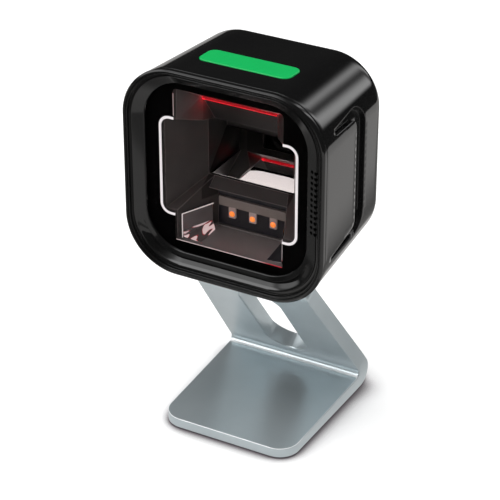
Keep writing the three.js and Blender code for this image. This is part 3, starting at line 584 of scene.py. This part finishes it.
def distance_to(polygon, points):
    """Signed distance from points to a polygon, positive inside."""
    a, b = polygon, np.roll(polygon, -1, 0)
    best = np.full(len(points), 1e9)
    inside = np.zeros(len(points), bool)
    for p, q in zip(a, b):
        d = q - p
        if d @ d < 1e-12:
            continue
        t = np.clip(((points - p) @ d) / (d @ d), 0, 1)
        best = np.minimum(best, np.linalg.norm(points - p - t[:, None] * d, axis=1))
        crosses = (p[1] > points[:, 1]) != (q[1] > points[:, 1])
        if abs(d[1]) > 1e-12:
            at = p[0] + (points[:, 1] - p[1]) * d[0] / d[1]
            inside ^= crosses & (points[:, 0] < at)
    return np.where(inside, best, -best)


def smooth(t):
    t = np.clip(t, 0, 1)
    return t * t * (3 - 2 * t)


# Corners (depth, height, radius) of the channel round a cheek, and its wall as (distance in, share of depth).
GRIP = [(11.3, 24.4, 0.8), (28.5, 23.2, 2.4), (28.8, -18.4, 3.0), (8.0, -20.9, 0), (8.0, -22.2, 0),
        (36.6, -23.2, 9.0), (36.3, 27.4, 8.0), (11.3, 26.4, 0.8)]
GRIP_WALL = [(-0.14, 0.0), (0.0, 0.04), (0.1, 0.22), (0.2, 0.55), (0.32, 0.86), (0.44, 0.98), (0.58, 1.0)]
GRIP_DEPTH, GRIP_SPACING = 2.2, 0.55
HOUSING_WALL = 3.0


def offset_corners(corners, inward):
    """The corners of a polygon whose edges are moved inwards."""
    pts = np.array([c[:2] for c in corners], float)
    area = sum(p[0] * q[1] - q[0] * p[1] for p, q in zip(pts, np.roll(pts, -1, 0)))
    turn = 1 if area > 0 else -1
    lines = []
    for p, q in zip(pts, np.roll(pts, -1, 0)):
        d = (q - p) / np.linalg.norm(q - p)
        lines.append((p + turn * inward * np.array([-d[1], d[0]]), d))
    out = []
    for i, (_, _, r) in enumerate(corners):
        (p, d), (q, e) = lines[i - 1], lines[i]
        cross = d[0] * e[1] - d[1] * e[0]
        t = ((q - p)[0] * e[1] - (q - p)[1] * e[0]) / cross
        at = p + d * t
        convex = cross * turn > 0
        out.append((at[0], at[1], max(r - inward, 0) if convex else r + inward if r else 0))
    return out


def resampled(loop, spacing):
    """A closed loop with points about one spacing apart, its own points kept."""
    out = []
    for p, q in zip(loop, np.roll(loop, -1, 0)):
        count = max(1, int(math.ceil(np.linalg.norm(q - p) / spacing)))
        out += [p + (q - p) * i / count for i in range(count)]
    return np.array(out)


FLAT_X, FLAT_Z, ARC = HALF_W - CORNER_R, HALF_H - CORNER_R, CORNER_R * math.pi / 2
HALF_ROUND = 2 * FLAT_X + 2 * ARC + 2 * FLAT_Z


def skin_at(u):
    """Points (x, z) and normals of the right half of the outline at distances u from its lowest middle."""
    u = np.asarray(u, float)
    x, z, nx, nz = (np.zeros_like(u) for _ in range(4))
    stops = np.cumsum([FLAT_X, ARC, 2 * FLAT_Z, ARC, FLAT_X])
    part = np.searchsorted(stops, u, side="right").clip(0, 4)
    for k in range(5):
        m = part == k
        w = u[m] - (stops[k - 1] if k else 0)
        if k == 0:
            x[m], z[m], nz[m] = w, -HALF_H, -1
        elif k == 4:
            x[m], z[m], nz[m] = FLAT_X - w, HALF_H, 1
        elif k == 2:
            x[m], z[m], nx[m] = HALF_W, w - FLAT_Z, 1
        else:
            t = w / CORNER_R - (math.pi / 2 if k == 1 else 0)
            nx[m], nz[m] = np.cos(t), np.sin(t)
            x[m], z[m] = FLAT_X + CORNER_R * np.cos(t), (FLAT_Z if k == 3 else -FLAT_Z) + CORNER_R * np.sin(t)
    return x, z, nx, nz


def to_unrolled(loop):
    """A loop in the side's (depth, height) plane as points (u, depth) of the unrolled skin."""
    y, z = loop[:, 0], loop[:, 1] / (1 - loop[:, 0] / APEX)
    beyond = (np.abs(z) - FLAT_Z) / CORNER_R
    angle = np.arcsin(np.clip(beyond, 0, 1))
    along = np.where(beyond > 0, np.sign(z) * (FLAT_Z + CORNER_R * angle), z)
    return np.stack([FLAT_X + ARC + FLAT_Z + along, y], 1)


def skin_steps():
    """Distances round the right half of the outline from its lowest middle, closer together on the arcs."""
    steps, start = [], 0.0
    arc_count = int(ARC / 0.6)
    for length, count in ((FLAT_X, 7), (ARC, arc_count), (2 * FLAT_Z, 14), (ARC, arc_count), (FLAT_X, 7)):
        steps.append(start + np.linspace(0, length, count, endpoint=False))
        start += length
    return np.append(np.concatenate(steps), start)


def grip_skin(us, first, last):
    """Triangles of the right half of the skin between two depths, with the channel pressed in."""
    depths = np.linspace(first, last, 30)
    points = [(u, first) for u in us] + [(HALF_ROUND, y) for y in depths[1:-1]]
    points += [(u, last) for u in us[::-1]] + [(0, y) for y in depths[1:-1][::-1]]
    edges = [(i, (i + 1) % len(points)) for i in range(len(points))]
    drops = [0.0] * len(points)
    for inward, share in GRIP_WALL:
        loop = to_unrolled(resampled(rounded(offset_corners(GRIP, inward), 10), GRIP_SPACING))
        base = len(points)
        edges += [(base + i, base + (i + 1) % len(loop)) for i in range(len(loop))]
        points += [tuple(p) for p in loop]
        drops += [share] * len(loop)
    outline = to_unrolled(resampled(rounded(GRIP, 10), GRIP_SPACING))
    grid = np.array([(u, y) for u in us[1:-1] for y in depths[1:-1]])
    within = distance_to(outline, grid)
    keep = (within < -0.45) | (within > 0.9)
    points += [tuple(p) for p in grid[keep]]
    drops += [1.0 if d > 0 else 0.0 for d in within[keep]]
    result = delaunay_2d_cdt([Vector(p) for p in points], edges, [], 0, 1e-7, True)
    u, y = np.array([tuple(v) for v in result[0]]).T
    drop = GRIP_DEPTH * np.array([max(drops[i] for i in source) if source else 0.0 for source in result[3]])
    return skin_points(u, y, drop), [tuple(f) for f in result[2]]


def skin_points(u, y, inset):
    """Points of the right half of the skin at distances u and depths y, drawn in by an inset."""
    x, z, nx, nz = skin_at(u)
    k = 1 - y / APEX
    return np.stack([x * k - inset * nx, y, z * k - inset * nz], 1)


def round_row(us, y, inset):
    """A closed row of the skin at a depth."""
    right = skin_points(us, np.full(len(us), y), inset)
    return np.concatenate([right, right[1:-1][::-1] * np.array([-1, 1, 1])])


def cap_rows(last, crown, count=9):
    """Rows that close a loop over a slightly domed face, and its middle point."""
    centre = last.mean(0)
    rows = []
    for k in range(1, count):
        f = 1 - k / count
        row = centre + (last - centre) * f
        row[:, 1] = last[:, 1] + crown * (1 - f * f)
        rows.append(row)
    return rows, centre + np.array([0, crown, 0])


def rear_rounding(radius, start, steps):
    """Rows (depth, inset) round the shell's rear edge."""
    angles = np.linspace(0, math.pi / 2, steps + 1)[1:]
    return [(start + radius * math.sin(a), radius * (1 - math.cos(a))) for a in angles]


def housing_shell():
    """The closed shell, before its openings are cut."""
    us = skin_steps()
    lip = [(SEAM_Y + back, inset) for back, inset in
           ((0, 0.34), (0.05, 0.2), (0.15, 0.08), (0.3, 0.02), (0.5, 0.0))]
    front = [round_row(us, y, inset) for y, inset in lip]
    rear = [round_row(us, y, inset) for y, inset in [(REAR_Y, 0.0)] + rear_rounding(REAR_R, REAR_Y, 10)]
    inner_y = REAR_Y - 2
    inner = [round_row(us, y, HOUSING_WALL + inset) for y, inset in
             [(SEAM_Y, 0), (20.0, 0), (inner_y, 0)] + rear_rounding(4.0, inner_y, 4)]
    n = len(front[0])
    verts, faces = [], []

    def band(rows):
        """Adds rows and the faces between them, and gives the index where the last row starts."""
        base = len(verts)
        verts.extend(np.concatenate(rows))
        for k in range(len(rows) - 1):
            a, b = base + k * n, base + (k + 1) * n
            faces.extend((a + j, a + (j + 1) % n, b + (j + 1) % n, b + j) for j in range(n))
        return base + (len(rows) - 1) * n

    band([inner[0], front[0]])
    band(front)
    skin, triangles = grip_skin(us, lip[-1][0], REAR_Y)
    for side in (1, -1):
        base = len(verts)
        verts.extend(skin * np.array([side, 1, 1]))
        faces.extend([base + i for i in t][::side] for t in triangles)
    for rows, count in ((rear, 9), (inner, 3)):
        caps, tip = cap_rows(rows[-1], REAR_CROWN, count)
        last = band(rows + caps)
        verts.append(tip)
        faces.extend((last + j, last + (j + 1) % n, len(verts) - 1) for j in range(n))
    shell = put("head_shell", in_head(np.array(verts)), faces)
    edit(shell, lambda bm: bmesh.ops.remove_doubles(bm, verts=bm.verts, dist=2 * WELD))
    return face_outwards(shell)


def build_housing():
    def upright(u, v, w):
        return (u, RIM_Y + v, AXIS_Z + w)

    def from_behind(u, v, w):
        return (u, w, v)

    def box_behind(node, gap, r):
        """The outline of a node seen from behind, grown by a gap."""
        low, high = (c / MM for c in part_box(node))
        return rounded(rect(low.x - gap, high.x + gap, low.z - gap, high.z + gap, r))

    beyond = 40.0
    button = rounded(rect(-BUTTON_W - 0.3, BUTTON_W + 0.3, BUTTON_Y - BUTTON_L - 0.3,
                          BUTTON_Y + BUTTON_L + 0.3, 3.4))
    cutters = [
        prism("cut", button, 30, 45, upright),
        prism("cut", rounded(rect(*HINGE_SLOT)), -45, -33, upright),
        prism("cut", box_behind("cable_socket", 0.35, 1.0), 10, beyond, from_behind),
        prism("cut", box_behind("rating_label", 0.3, 1.5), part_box("rating_label")[0].y / MM - 0.1, beyond,
              from_behind),
    ]
    for place in ("top_left", "top_right", "bottom_left", "bottom_right"):
        low, high = (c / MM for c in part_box(f"housing_screw_{place}"))
        hole = ring_of(((low.x + high.x) / 2, (low.z + high.z) / 2), (high.x - low.x) / 2 + 0.35, 32)
        cutters.append(prism("cut", hole, high.y - 2.1, beyond, from_behind))
    shell = housing_shell()
    boolean(shell, merged("cutters", cutters), "DIFFERENCE")
    finish_piece(shell, GLOSS_BLACK, "head", ["rear_housing"])


# ---- Head: bezel and window ----

def bezel_profile():
    """Points (distance in from the outline, depth) across the bezel's face, from outside to the window."""
    face = [tuple(p) for p in rounded(RIM, 4)]
    at = next(i for i, p in enumerate(face) if p[0] > 6.5)
    (outer, shallow, _), (inner, deep, _) = RIM[-3:-1]
    steps = [3.4, 3.5, 3.8, 4.2, 4.6, 5.0, 5.3, 5.55, 5.62, 5.67, 5.75, 5.83, 5.88, 5.95, 6.1, 6.5, 6.9]
    face[at:at] = [(t, np.interp(t, [outer, inner], [shallow, deep])) for t in steps]
    return face


def build_bezel():
    samples = outline_samples()
    rows = []
    for t, y in bezel_profile():
        share = min(t / RIM[-1][0], 1.0)
        size = {key: (1 - share) * outer + share * WINDOW[key]
                for key, outer in (("hw", HALF_W), ("hh", HALF_H), ("r", CORNER_R), ("cz", 0.0))}
        p = outline_points(samples, **size)
        depth = np.full(len(p), y)
        if 3.3 <= t <= 6.6:
            depth = depth + smooth((-p[:, 1] - SCOOP_Z) / 9.0) * np.interp(t, *SCOOP)
        rows.append(np.stack([p[:, 0], depth, p[:, 1]], 1))
    lap = 1.6
    seat = dict(WINDOW, hw=WINDOW["hw"] + lap, hh=WINDOW["hh"] + lap, r=WINDOW["r"] + lap)
    skirt, rear_y = WALL + 0.4, 7.5
    for size, y in ((seat, GLASS_Y - 0.05), (seat, rear_y), (section(rear_y, skirt), rear_y),
                    (section(2.4, skirt), 2.4)):
        p = outline_points(samples, **size)
        rows.append(np.stack([p[:, 0], np.full(len(p), y), p[:, 1]], 1))
    n, count = len(samples), len(rows)
    faces = [(k * n + j, k * n + (j + 1) % n, (k + 1) % count * n + (j + 1) % n, (k + 1) % count * n + j)
             for k in range(count) for j in range(n)]
    bezel = face_outwards(put("bezel_ring", in_head(np.concatenate(rows)), faces))
    holes = [prism("cut", ring_of((x, VENT_TOP - VENT_PITCH * i), VENT_R, 16), -2, 5.5, front_plane(0))
             for x in VENT_COLUMNS for i in range(VENT_COUNT)]
    boolean(bezel, merged("cutters", holes), "DIFFERENCE")
    finish_piece(bezel, BEZEL_BLACK, "head", ["front_bezel"])


def clear_corners():
    """The cross-shaped clear area of the window."""
    c = CLEAR
    return mirrored([(c["neck"], c["bottom"], 0.5), (c["neck"], c["shoulder_low"], 0.25),
                     (c["wide"], c["shoulder_low"], 3.2), (c["wide"], c["shoulder_top"], 3.2),
                     (c["neck"], c["shoulder_top"], 0.25), (c["neck"], c["top"], 1.6)])


def window_outline(grow):
    return rounded(rect(-WINDOW["hw"] - grow, WINDOW["hw"] + grow, WINDOW["cz"] - WINDOW["hh"] - grow,
                        WINDOW["cz"] + WINDOW["hh"] + grow, WINDOW["r"] + grow), 20)


def build_window():
    back = GLASS_Y + GLASS_T
    glass = plate("window_pane", [window_outline(1.4)], GLASS_T, 0.25, front_plane(GLASS_Y + GLASS_T / 2))
    finish_piece(flat_normals(glass), WINDOW_GLASS, "head", ["window_glass"])
    film = plate("window_film", [window_outline(1.3), rounded(clear_corners())], 0.2, 0.03,
                 front_plane(back + 0.16))
    finish_piece(flat_normals(film), MASK_BLACK, "head", ["window_mask"])
    width = 1.0
    x0, x1, up, low = CLEAR["neck"] - 0.2, CLEAR["wide"], CLEAR["shoulder_top"], CLEAR["shoulder_low"]
    bracket = [(x0, low, 0), (x1, low, 3.2), (x1, up, 3.2), (x0, up, 0), (x0, up + width, 0),
               (x1 + width, up + width, 4.2), (x1 + width, low - width, 4.2), (x0, low - width, 0)]
    for word, side in SIDES:
        ring = rounded([(side * u, v, r) for u, v, r in bracket])
        line = plate(f"window_print_{word}", [ring], 0.04, 0.005, front_plane(back + 0.025), 1)
        finish_piece(flat_normals(line), WHITE_PRINT, "head")
    # Painted highlights: thin glowing strips along the lower edge and the upper left edge of the clear area.
    neck, bottom = CLEAR["neck"], CLEAR["bottom"]
    strips = [rect(-neck + 0.3, neck - 0.1, bottom, bottom + 0.22, 0.05),
              rect(-neck, -neck + 0.14, up + 1.5, CLEAR["top"] - 2, 0.05)]
    edges = [plate("edge", [rounded(strip, 3)], 0.12, 0.03, front_plane(back + 0.3), 2) for strip in strips]
    finish_piece(merged("window_film_edge_highlight", edges), FILM_EDGE_HIGHLIGHT, "head")


# ---- Head: light sources and mirror edges ----

def dome(name, centre, radius, rise, rings=7, around=24):
    """A low dome that faces the front, closed at its back."""
    verts = []
    for a in np.linspace(0, math.pi / 2, rings, endpoint=False):
        verts += [centre + np.array([x, -rise * math.sin(a), z])
                  for x, z in ring_of((0, 0), radius * math.cos(a), around)]
    verts += [centre + np.array([0, -rise, 0]), centre]
    tip, last = len(verts) - 2, (rings - 1) * around
    faces = []
    for j in range(around):
        m = (j + 1) % around
        faces += [(k + j, k + m, k + around + m, k + around + j) for k in range(0, last, around)]
        faces += [(last + j, last + m, tip), (m, j, tip + 1)]
    return face_outwards(put(name, verts, faces, 60))


def build_leds():
    thickness = 0.9
    for word in ("left", "middle", "right"):
        low, high = (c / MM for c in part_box(f"led_{word}"))
        face = high.y - thickness
        ring = rounded(rect(low.x, high.x, low.z, high.z, 0.35), 5)
        package = plate(f"led_package_{word}", [ring], thickness, 0.14,
                        lambda u, v, w: (u, face + thickness / 2 + w, v), 2)
        finish_piece(flat_normals(package), PACKAGE, "head", [f"led_{word}"])
        centre = np.array([(low.x + high.x) / 2, face + 0.05, (low.z + high.z) / 2 - 0.45])
        lens = dome(f"led_lens_{word}", centre, radius=1.12, rise=0.75)
        finish_piece(lens, AMBER, "head")


def build_mirror_edges():
    """A painted highlight along the ground edges of the left side mirror, where they catch the light along
    its front and its top.
    """
    low, high = (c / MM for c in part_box("side_mirror_left"))
    front = np.array([low.x, low.y])
    along = np.array([high.x, high.y]) - front
    length = float(np.linalg.norm(along))
    along = along / length
    inward = np.array([along[1], -along[0]])
    width, height, length = 0.38, high.z - low.z, length - 0.6
    shape = rounded([(0, 0, 0.05), (width, 0, 0.05), (width, height - width, 0.2),
                     (length, height - width, 0.05), (length, height, 0.05), (0, height, 0.2)], 5)

    def place(u, v, w):
        x, y = front + along * (u + 0.1) + inward * (w + 0.62)
        return (x, y, low.z + v)

    edge = plate("mirror_edge_left", [shape], 0.16, 0.04, place, 2)
    finish_piece(flat_normals(edge), MIRROR_EDGE_HIGHLIGHT, "head")


def build_mirror_facets():
    """The small sloping facets that join the side mirrors to the chamber's floor."""
    corners = np.array([(20.0, 7.9, -28.2), (13.2, 8.7, -29.2), (13.6, 19.6, -29.2), (14.9, 19.9, -25.2)])
    ring = [0, 1, 2, 3]
    faces = [ring, [4 + i for i in ring[::-1]]] + [[i, (i + 1) % 4, 4 + (i + 1) % 4, 4 + i] for i in ring]
    for word, side in SIDES:
        top = corners * np.array([side, 1, 1])
        normal = np.cross(top[1] - top[0], top[3] - top[0])
        below = top - 0.25 * normal / np.linalg.norm(normal) * math.copysign(1, normal[2])
        facet = face_outwards(put(f"mirror_facet_{word}", in_head(np.concatenate([top, below])), faces))
        # The left facet carries a painted reflection, the right one a plain mirror.
        finish_piece(soften(facet, 0.06), FACET_PAINTED_REFLECTION if side < 0 else MIRROR, "head")


# ---- Head: indicator button ----

def build_button():
    slope = math.atan(HALF_H / APEX)
    origin = np.array([0, RIM_Y + BUTTON_Y, AXIS_Z + HALF_H * (1 - BUTTON_Y / APEX)])

    def layer(name, hw, hl, r, steps, top, thickness, bevel, rim_steps=2):
        """A plate square to the sloping top face, its own top at a height over that face."""
        def place(u, v, w):
            w += top - thickness / 2
            return origin + np.array([u, v * math.cos(slope) + w * math.sin(slope),
                                      w * math.cos(slope) - v * math.sin(slope)])
        return plate(name, [rounded(rect(-hw, hw, -hl, hl, r), steps)], thickness, bevel, place, rim_steps)

    cap = layer("button_cap", BUTTON_W, BUTTON_L, 3.2, 10, 0.3, 3.3, 0.35, 3)
    boolean(cap, layer("flange", BUTTON_W + 1, BUTTON_L + 1, 4.2, 10, -2.9, 0.8, 0.15), "UNION")
    boolean(cap, layer("stud", 1.5, 1.5, 1.49, 6, -3.55, 0.7, 0.15), "UNION")
    finish_piece(flat_normals(cap), GREEN, "button", ["indicator_button"])


# ---- Stand ----

LEAN = math.radians(37.1)
FOOT_FRONT, BEND_Y, BEND_Z = -32.8, 25.5, 6.1
FOOT_BOTTOM, FOOT_TOP = 0.6, 4.4
THICK, ARM_L = 6.5, 62.4
INNER_R, OUTER_R, TOP_R = 2.0, 5.8, 17.25
HALF_FRONT, HALF_BEND, HALF_ARM, HALF_TONGUE = 27.2, 28.25, 24.5, 10.9
BEND_L, SHOULDER_Z = 8.0, 64.6
SLOT_R, SLOT_LOW, SLOT_HIGH = 8.6, 7.2, 58.3  # its ends lie this far up the arm
KNUCKLE_R, BORE_R = 4.2, 2.07


def at_share(path, share):
    """The point at a share of a path's length."""
    lengths = np.concatenate([[0], np.cumsum(np.linalg.norm(np.diff(path, axis=0), axis=1))])
    return np.array([np.interp(share * lengths[-1], lengths, path[:, i]) for i in (0, 1)])


def arc_points(a, corner, b, r, count):
    """Points of the arc that rounds the corner between a and b."""
    return rounded([(*a, 0), (*corner, r), (*b, 0)], count)[1:-1]


def plate_curves():
    """The plate's faces as stations (distance along, front point, rear point), and where the bend is."""
    along = np.array([-math.sin(LEAN), math.cos(LEAN)])
    across = np.array([math.cos(LEAN), math.sin(LEAN)])
    corner = np.array([BEND_Y, BEND_Z])
    outer = corner + across * THICK
    front_y = (corner + along * ARM_L)[0] - TOP_R * (1 - math.cos(LEAN))
    start = np.array([FOOT_FRONT, FOOT_TOP])
    toe = np.array([outer[0] + (outer[1] - FOOT_BOTTOM) * math.tan(LEAN), FOOT_BOTTOM])
    upper = corner + along * ((corner[0] - front_y) / math.sin(LEAN))
    inner_arc = arc_points(start, corner, upper, INNER_R, 10)
    outer_arc = arc_points((FOOT_FRONT, FOOT_BOTTOM), toe, outer + along * 30, OUTER_R, 16)
    stations = []

    def run(length, count, point_pair, first=1):
        """Adds stations over a length. point_pair(share) gives the front and rear points."""
        base = stations[-1][0] if stations else 0.0
        for f in np.linspace(0, 1, count)[first:]:
            stations.append((base + length * f, *point_pair(f)))

    def on_foot(f):
        p = start + (inner_arc[0] - start) * f
        return p, np.array([p[0], FOOT_BOTTOM])

    foot = np.linalg.norm(inner_arc[0] - start)
    run(foot, 12, on_foot, 0)
    arm_start = inner_arc[-1]
    rear_path = np.concatenate([[stations[-1][2]], outer_arc, [arm_start + across * THICK]])
    run(BEND_L, 33, lambda f: (at_share(inner_arc, f), at_share(rear_path, f)))
    arm = np.linalg.norm(upper - arm_start) - TOP_R * math.tan(LEAN / 2)
    run(arm, 24, lambda f: (arm_start + along * arm * f, arm_start + along * arm * f + across * THICK))
    centre = arm_start + along * arm + across * TOP_R

    def on_top_arc(f):
        direction = np.array([math.cos(LEAN * (1 - f)), math.sin(LEAN * (1 - f))])
        return centre - direction * TOP_R, centre - direction * (TOP_R - THICK)

    run(TOP_R * LEAN, 14, on_top_arc)
    last = stations[-1][1]
    rise = np.array([0, PIVOT_Z - last[1]])
    run(rise[1], 6, lambda f: (last + rise * f, last + rise * f + np.array([THICK, 0])))
    return stations, foot


def build_stand():
    stations, foot = plate_curves()
    s_all, front, rear = (np.array(column) for column in zip(*stations))
    arm = foot + BEND_L

    def s_at(z):
        """The distance along the plate at which the arm's front face reaches a height."""
        return float(np.interp(z, front[30:, 1], s_all[30:]))

    arm_corner = arm - np.linalg.norm(front[np.searchsorted(s_all, arm)] - np.array([BEND_Y, BEND_Z]))
    shoulder, kink = s_at(SHOULDER_Z), s_at(BEND_Z + ARM_L * math.cos(LEAN))
    ring = rounded(mirrored([
        (HALF_FRONT, 0, 8.0), (HALF_BEND, foot, 30), (HALF_BEND, arm, 30), (HALF_ARM, kink, 30),
        (HALF_ARM, shoulder, 8.0), (HALF_TONGUE, shoulder, 1.5), (HALF_TONGUE, s_all[-1], 0.3)]), 12)
    slot = rounded(rect(-SLOT_R, SLOT_R, arm_corner + SLOT_LOW, arm_corner + SLOT_HIGH, SLOT_R - 0.01), 16)
    obj = plate("stand_sheet", [ring, slot], 2.0, 0.26, steps=4)

    def slice_at(bm):
        for s in s_all[1:-1]:
            geometry = bm.verts[:] + bm.edges[:] + bm.faces[:]
            bmesh.ops.bisect_plane(bm, geom=geometry, dist=1e-7, plane_co=(0, s * MM, 0), plane_no=(0, 1, 0))
    edit(obj, slice_at)

    def bend(u, v, w):
        """(u across, v along, w through) of the flat sheet, bent to shape. w runs from rear -1 to front 1."""
        a, b = (np.array([np.interp(v, s_all, side[:, i]) for i in (0, 1)]) for side in (front, rear))
        y, z = b + (a - b) * (w + 1) / 2
        return (u, y, z)
    reshape(obj, bend)
    shade(obj.data, 50)

    for name, r, half, operation in (("knuckle", KNUCKLE_R, HALF_TONGUE, "UNION"),
                                     ("bore", BORE_R, 30, "DIFFERENCE")):
        disc = ring_of((PIVOT_Y, PIVOT_Z), r, 48)
        boolean(obj, prism(name, disc, -half, half, lambda u, v, w: (w, u, v)), operation, 50)
    finish_piece(flat_normals(obj), STAND_METAL, "stand", ["stand_plate"])


# ---- Stage ----

VIEW_AZ, VIEW_EL = math.radians(28.66), math.radians(29.66)
FLOOR_GLOW, AMBIENT = 0.32, 0.78
SHADOW_REACH = 0.013
FIELD_EDGE, FIELD_COLOUR = 0.375, (0.79, 0.775, 0.76, 1)
# What glossy surfaces see of the studio. Strips stand behind, as (slant x / y, width, strength).
STRIPS = [(0.2, 0.09, 1.9), (0.47, 0.075, 2.6)]
# An overhead band lies across x, as (x, width, strength).
OVERHEAD = (-0.417, 0.3, 1.7)
# Boxes are (direction, angle where they start to fade, angle where they end, strength).
BOXES = [((-0.417, -0.706, 0.572), 12, 20, 2.8), ((-0.88, -0.1, 0.46), 14, 27, 1.6)]


def mirror_floor():
    """The floor: white, with a painted contact shadow round the object, and to glossy surfaces a bright field
    that ends to the right and behind, with painted shade near the stand.
    """
    material, n = new_material("stage_white")
    # Painted shadow: the floor darkens where ambient occlusion finds the object within SHADOW_REACH.
    near = n.add("ShaderNodeAmbientOcclusion", Distance=SHADOW_REACH, samples=24)
    open_share = n.ramp(near.outputs["AO"], 0.45, 1.0, 0.0, 1.0)
    paper = n.colours(n.noise(3.0), (0.93, 0.93, 0.93), (0.94, 0.94, 0.94))
    n.give(Base_Color=n.colours(open_share, (0.19, 0.165, 0.18), paper), Roughness=0.9,
           Emission_Color=n.colours(open_share, (0.0, 0.0, 0.0), paper), Emission_Strength=FLOOR_GLOW,
           Specular_IOR_Level=0.0)
    x, y, _ = n.split(n.coordinates("Object"))
    across = n.maths("ADD", n.product(x, math.cos(VIEW_AZ)), n.product(y, math.sin(VIEW_AZ)))
    field = n.ramp(across, FIELD_EDGE + 0.012, FIELD_EDGE - 0.012, 0.04, 1.0)
    # Painted shade in the field that glossy surfaces see: darker ahead of the stand on its left, and beside
    # it.
    ahead = n.maths("ADD", n.ramp(y, -0.036, -0.046, 0.3, 0.7), n.ramp(y, -0.09, -0.12, 0, 0.18))
    left = n.ramp(x, -0.02, -0.05, 0, 1)
    beside = n.product(n.ramp(x, 0.031, 0.036, 0, 1), n.ramp(x, 0.1, 0.085, 0, 0.62))
    for darker in (n.product(left, ahead), beside):
        field = n.maths("SUBTRACT", field, darker)
    glow = n.add("ShaderNodeEmission", Color=FIELD_COLOUR)
    n.join(field, glow.inputs["Strength"])
    n.blend(n.ray_is("Glossy"), n.shader, glow)
    return material


def build_world():
    """Even light, and to glossy surfaces a dark studio with soft strips behind and boxes in front."""
    world = bpy.data.worlds.new("studio")
    n = Nodes(world)
    x, y, z = n.split(n.coordinates("Generated"))
    slant = n.maths("DIVIDE", x, n.maths("MAXIMUM", y, 0.05))
    strips = 0.0
    for centre, width, strength in STRIPS:
        strips = n.maths("ADD", n.product(n.bell(slant, centre, width), strength), strips)
    centre, width, strength = OVERHEAD
    band = n.product(n.bell(x, centre, width), n.ramp(y, 0.35, 0.0, 0, 1), n.ramp(z, 0.1, 0.35, 0, 1))
    parts = [n.product(strips, n.ramp(y, 0.1, 0.4, 0, 1), n.ramp(z, 0.02, 0.12, 0, 1)),
             n.product(band, strength)]
    for way, inner, outer, strength in BOXES:
        toward = 0.0
        for axis, share in zip((x, y, z), way):
            toward = n.maths("ADD", n.product(axis, share), toward)
        inner, outer = (math.cos(math.radians(angle)) for angle in (inner, outer))
        parts.append(n.ramp(toward, outer, inner, 0, strength))
    total = 0.03
    for part in parts:
        total = n.maths("ADD", part, total)
    glossy = n.ray_is("Glossy")
    plain = n.product(n.maths("SUBTRACT", 1.0, glossy), AMBIENT)
    ground = n.tree.nodes["Background"]
    n.join(n.maths("ADD", plain, n.product(glossy, total)), ground.inputs["Strength"])
    ground.inputs["Color"].default_value = (1, 1, 1, 1)
    bpy.context.scene.world = world


def build_stage():
    half = 3.0 / MM
    corners = [(-half, -half, 0), (half, -half, 0), (half, half, 0), (-half, half, 0)]
    floor = put("floor", corners, [(0, 1, 2, 3)])
    paint(floor, mirror_floor())
    lamp = bpy.data.lights.new("softbox_top", "AREA")
    lamp.shape, lamp.size, lamp.energy = "SQUARE", 0.9, 11
    softbox = bpy.data.objects.new("softbox_top", lamp)
    softbox.location = (-0.25, -0.35, 1.5)
    softbox.rotation_euler = (Vector((0, 0, 0.05)) - softbox.location).to_track_quat("-Z", "Y").to_euler()
    softbox.visible_glossy = False
    bpy.context.scene.collection.objects.link(softbox)
    build_world()


def build_camera():
    data = bpy.data.cameras.new("camera")
    data.sensor_width, data.lens = 36.0, 147.6
    data.clip_start, data.clip_end = 0.01, 20
    camera = bpy.data.objects.new("camera", data)
    camera.location = (0.3096, -0.5789, 0.4401)
    level = math.cos(VIEW_EL)
    forward = Vector((-math.sin(VIEW_AZ) * level, math.cos(VIEW_AZ) * level, -math.sin(VIEW_EL)))
    camera.rotation_euler = forward.to_track_quat("-Z", "Y").to_euler()
    bpy.context.scene.collection.objects.link(camera)
    bpy.context.scene.camera = camera
    bpy.context.scene.view_settings.view_transform = "Standard"


def soften_cad():
    """Rounds the sharp edges of the CAD nodes that are still shown."""
    for node, obj in frame["nodes"].items():
        if not obj.hide_render:
            low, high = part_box(node)
            soften(obj, min(0.25, 0.12 * min(high - low) / MM))


# ---- Build ----

build_housing()
build_bezel()
build_window()
build_leds()
build_mirror_edges()
build_mirror_facets()
build_button()
build_stand()
soften_cad()
build_stage()
build_camera()
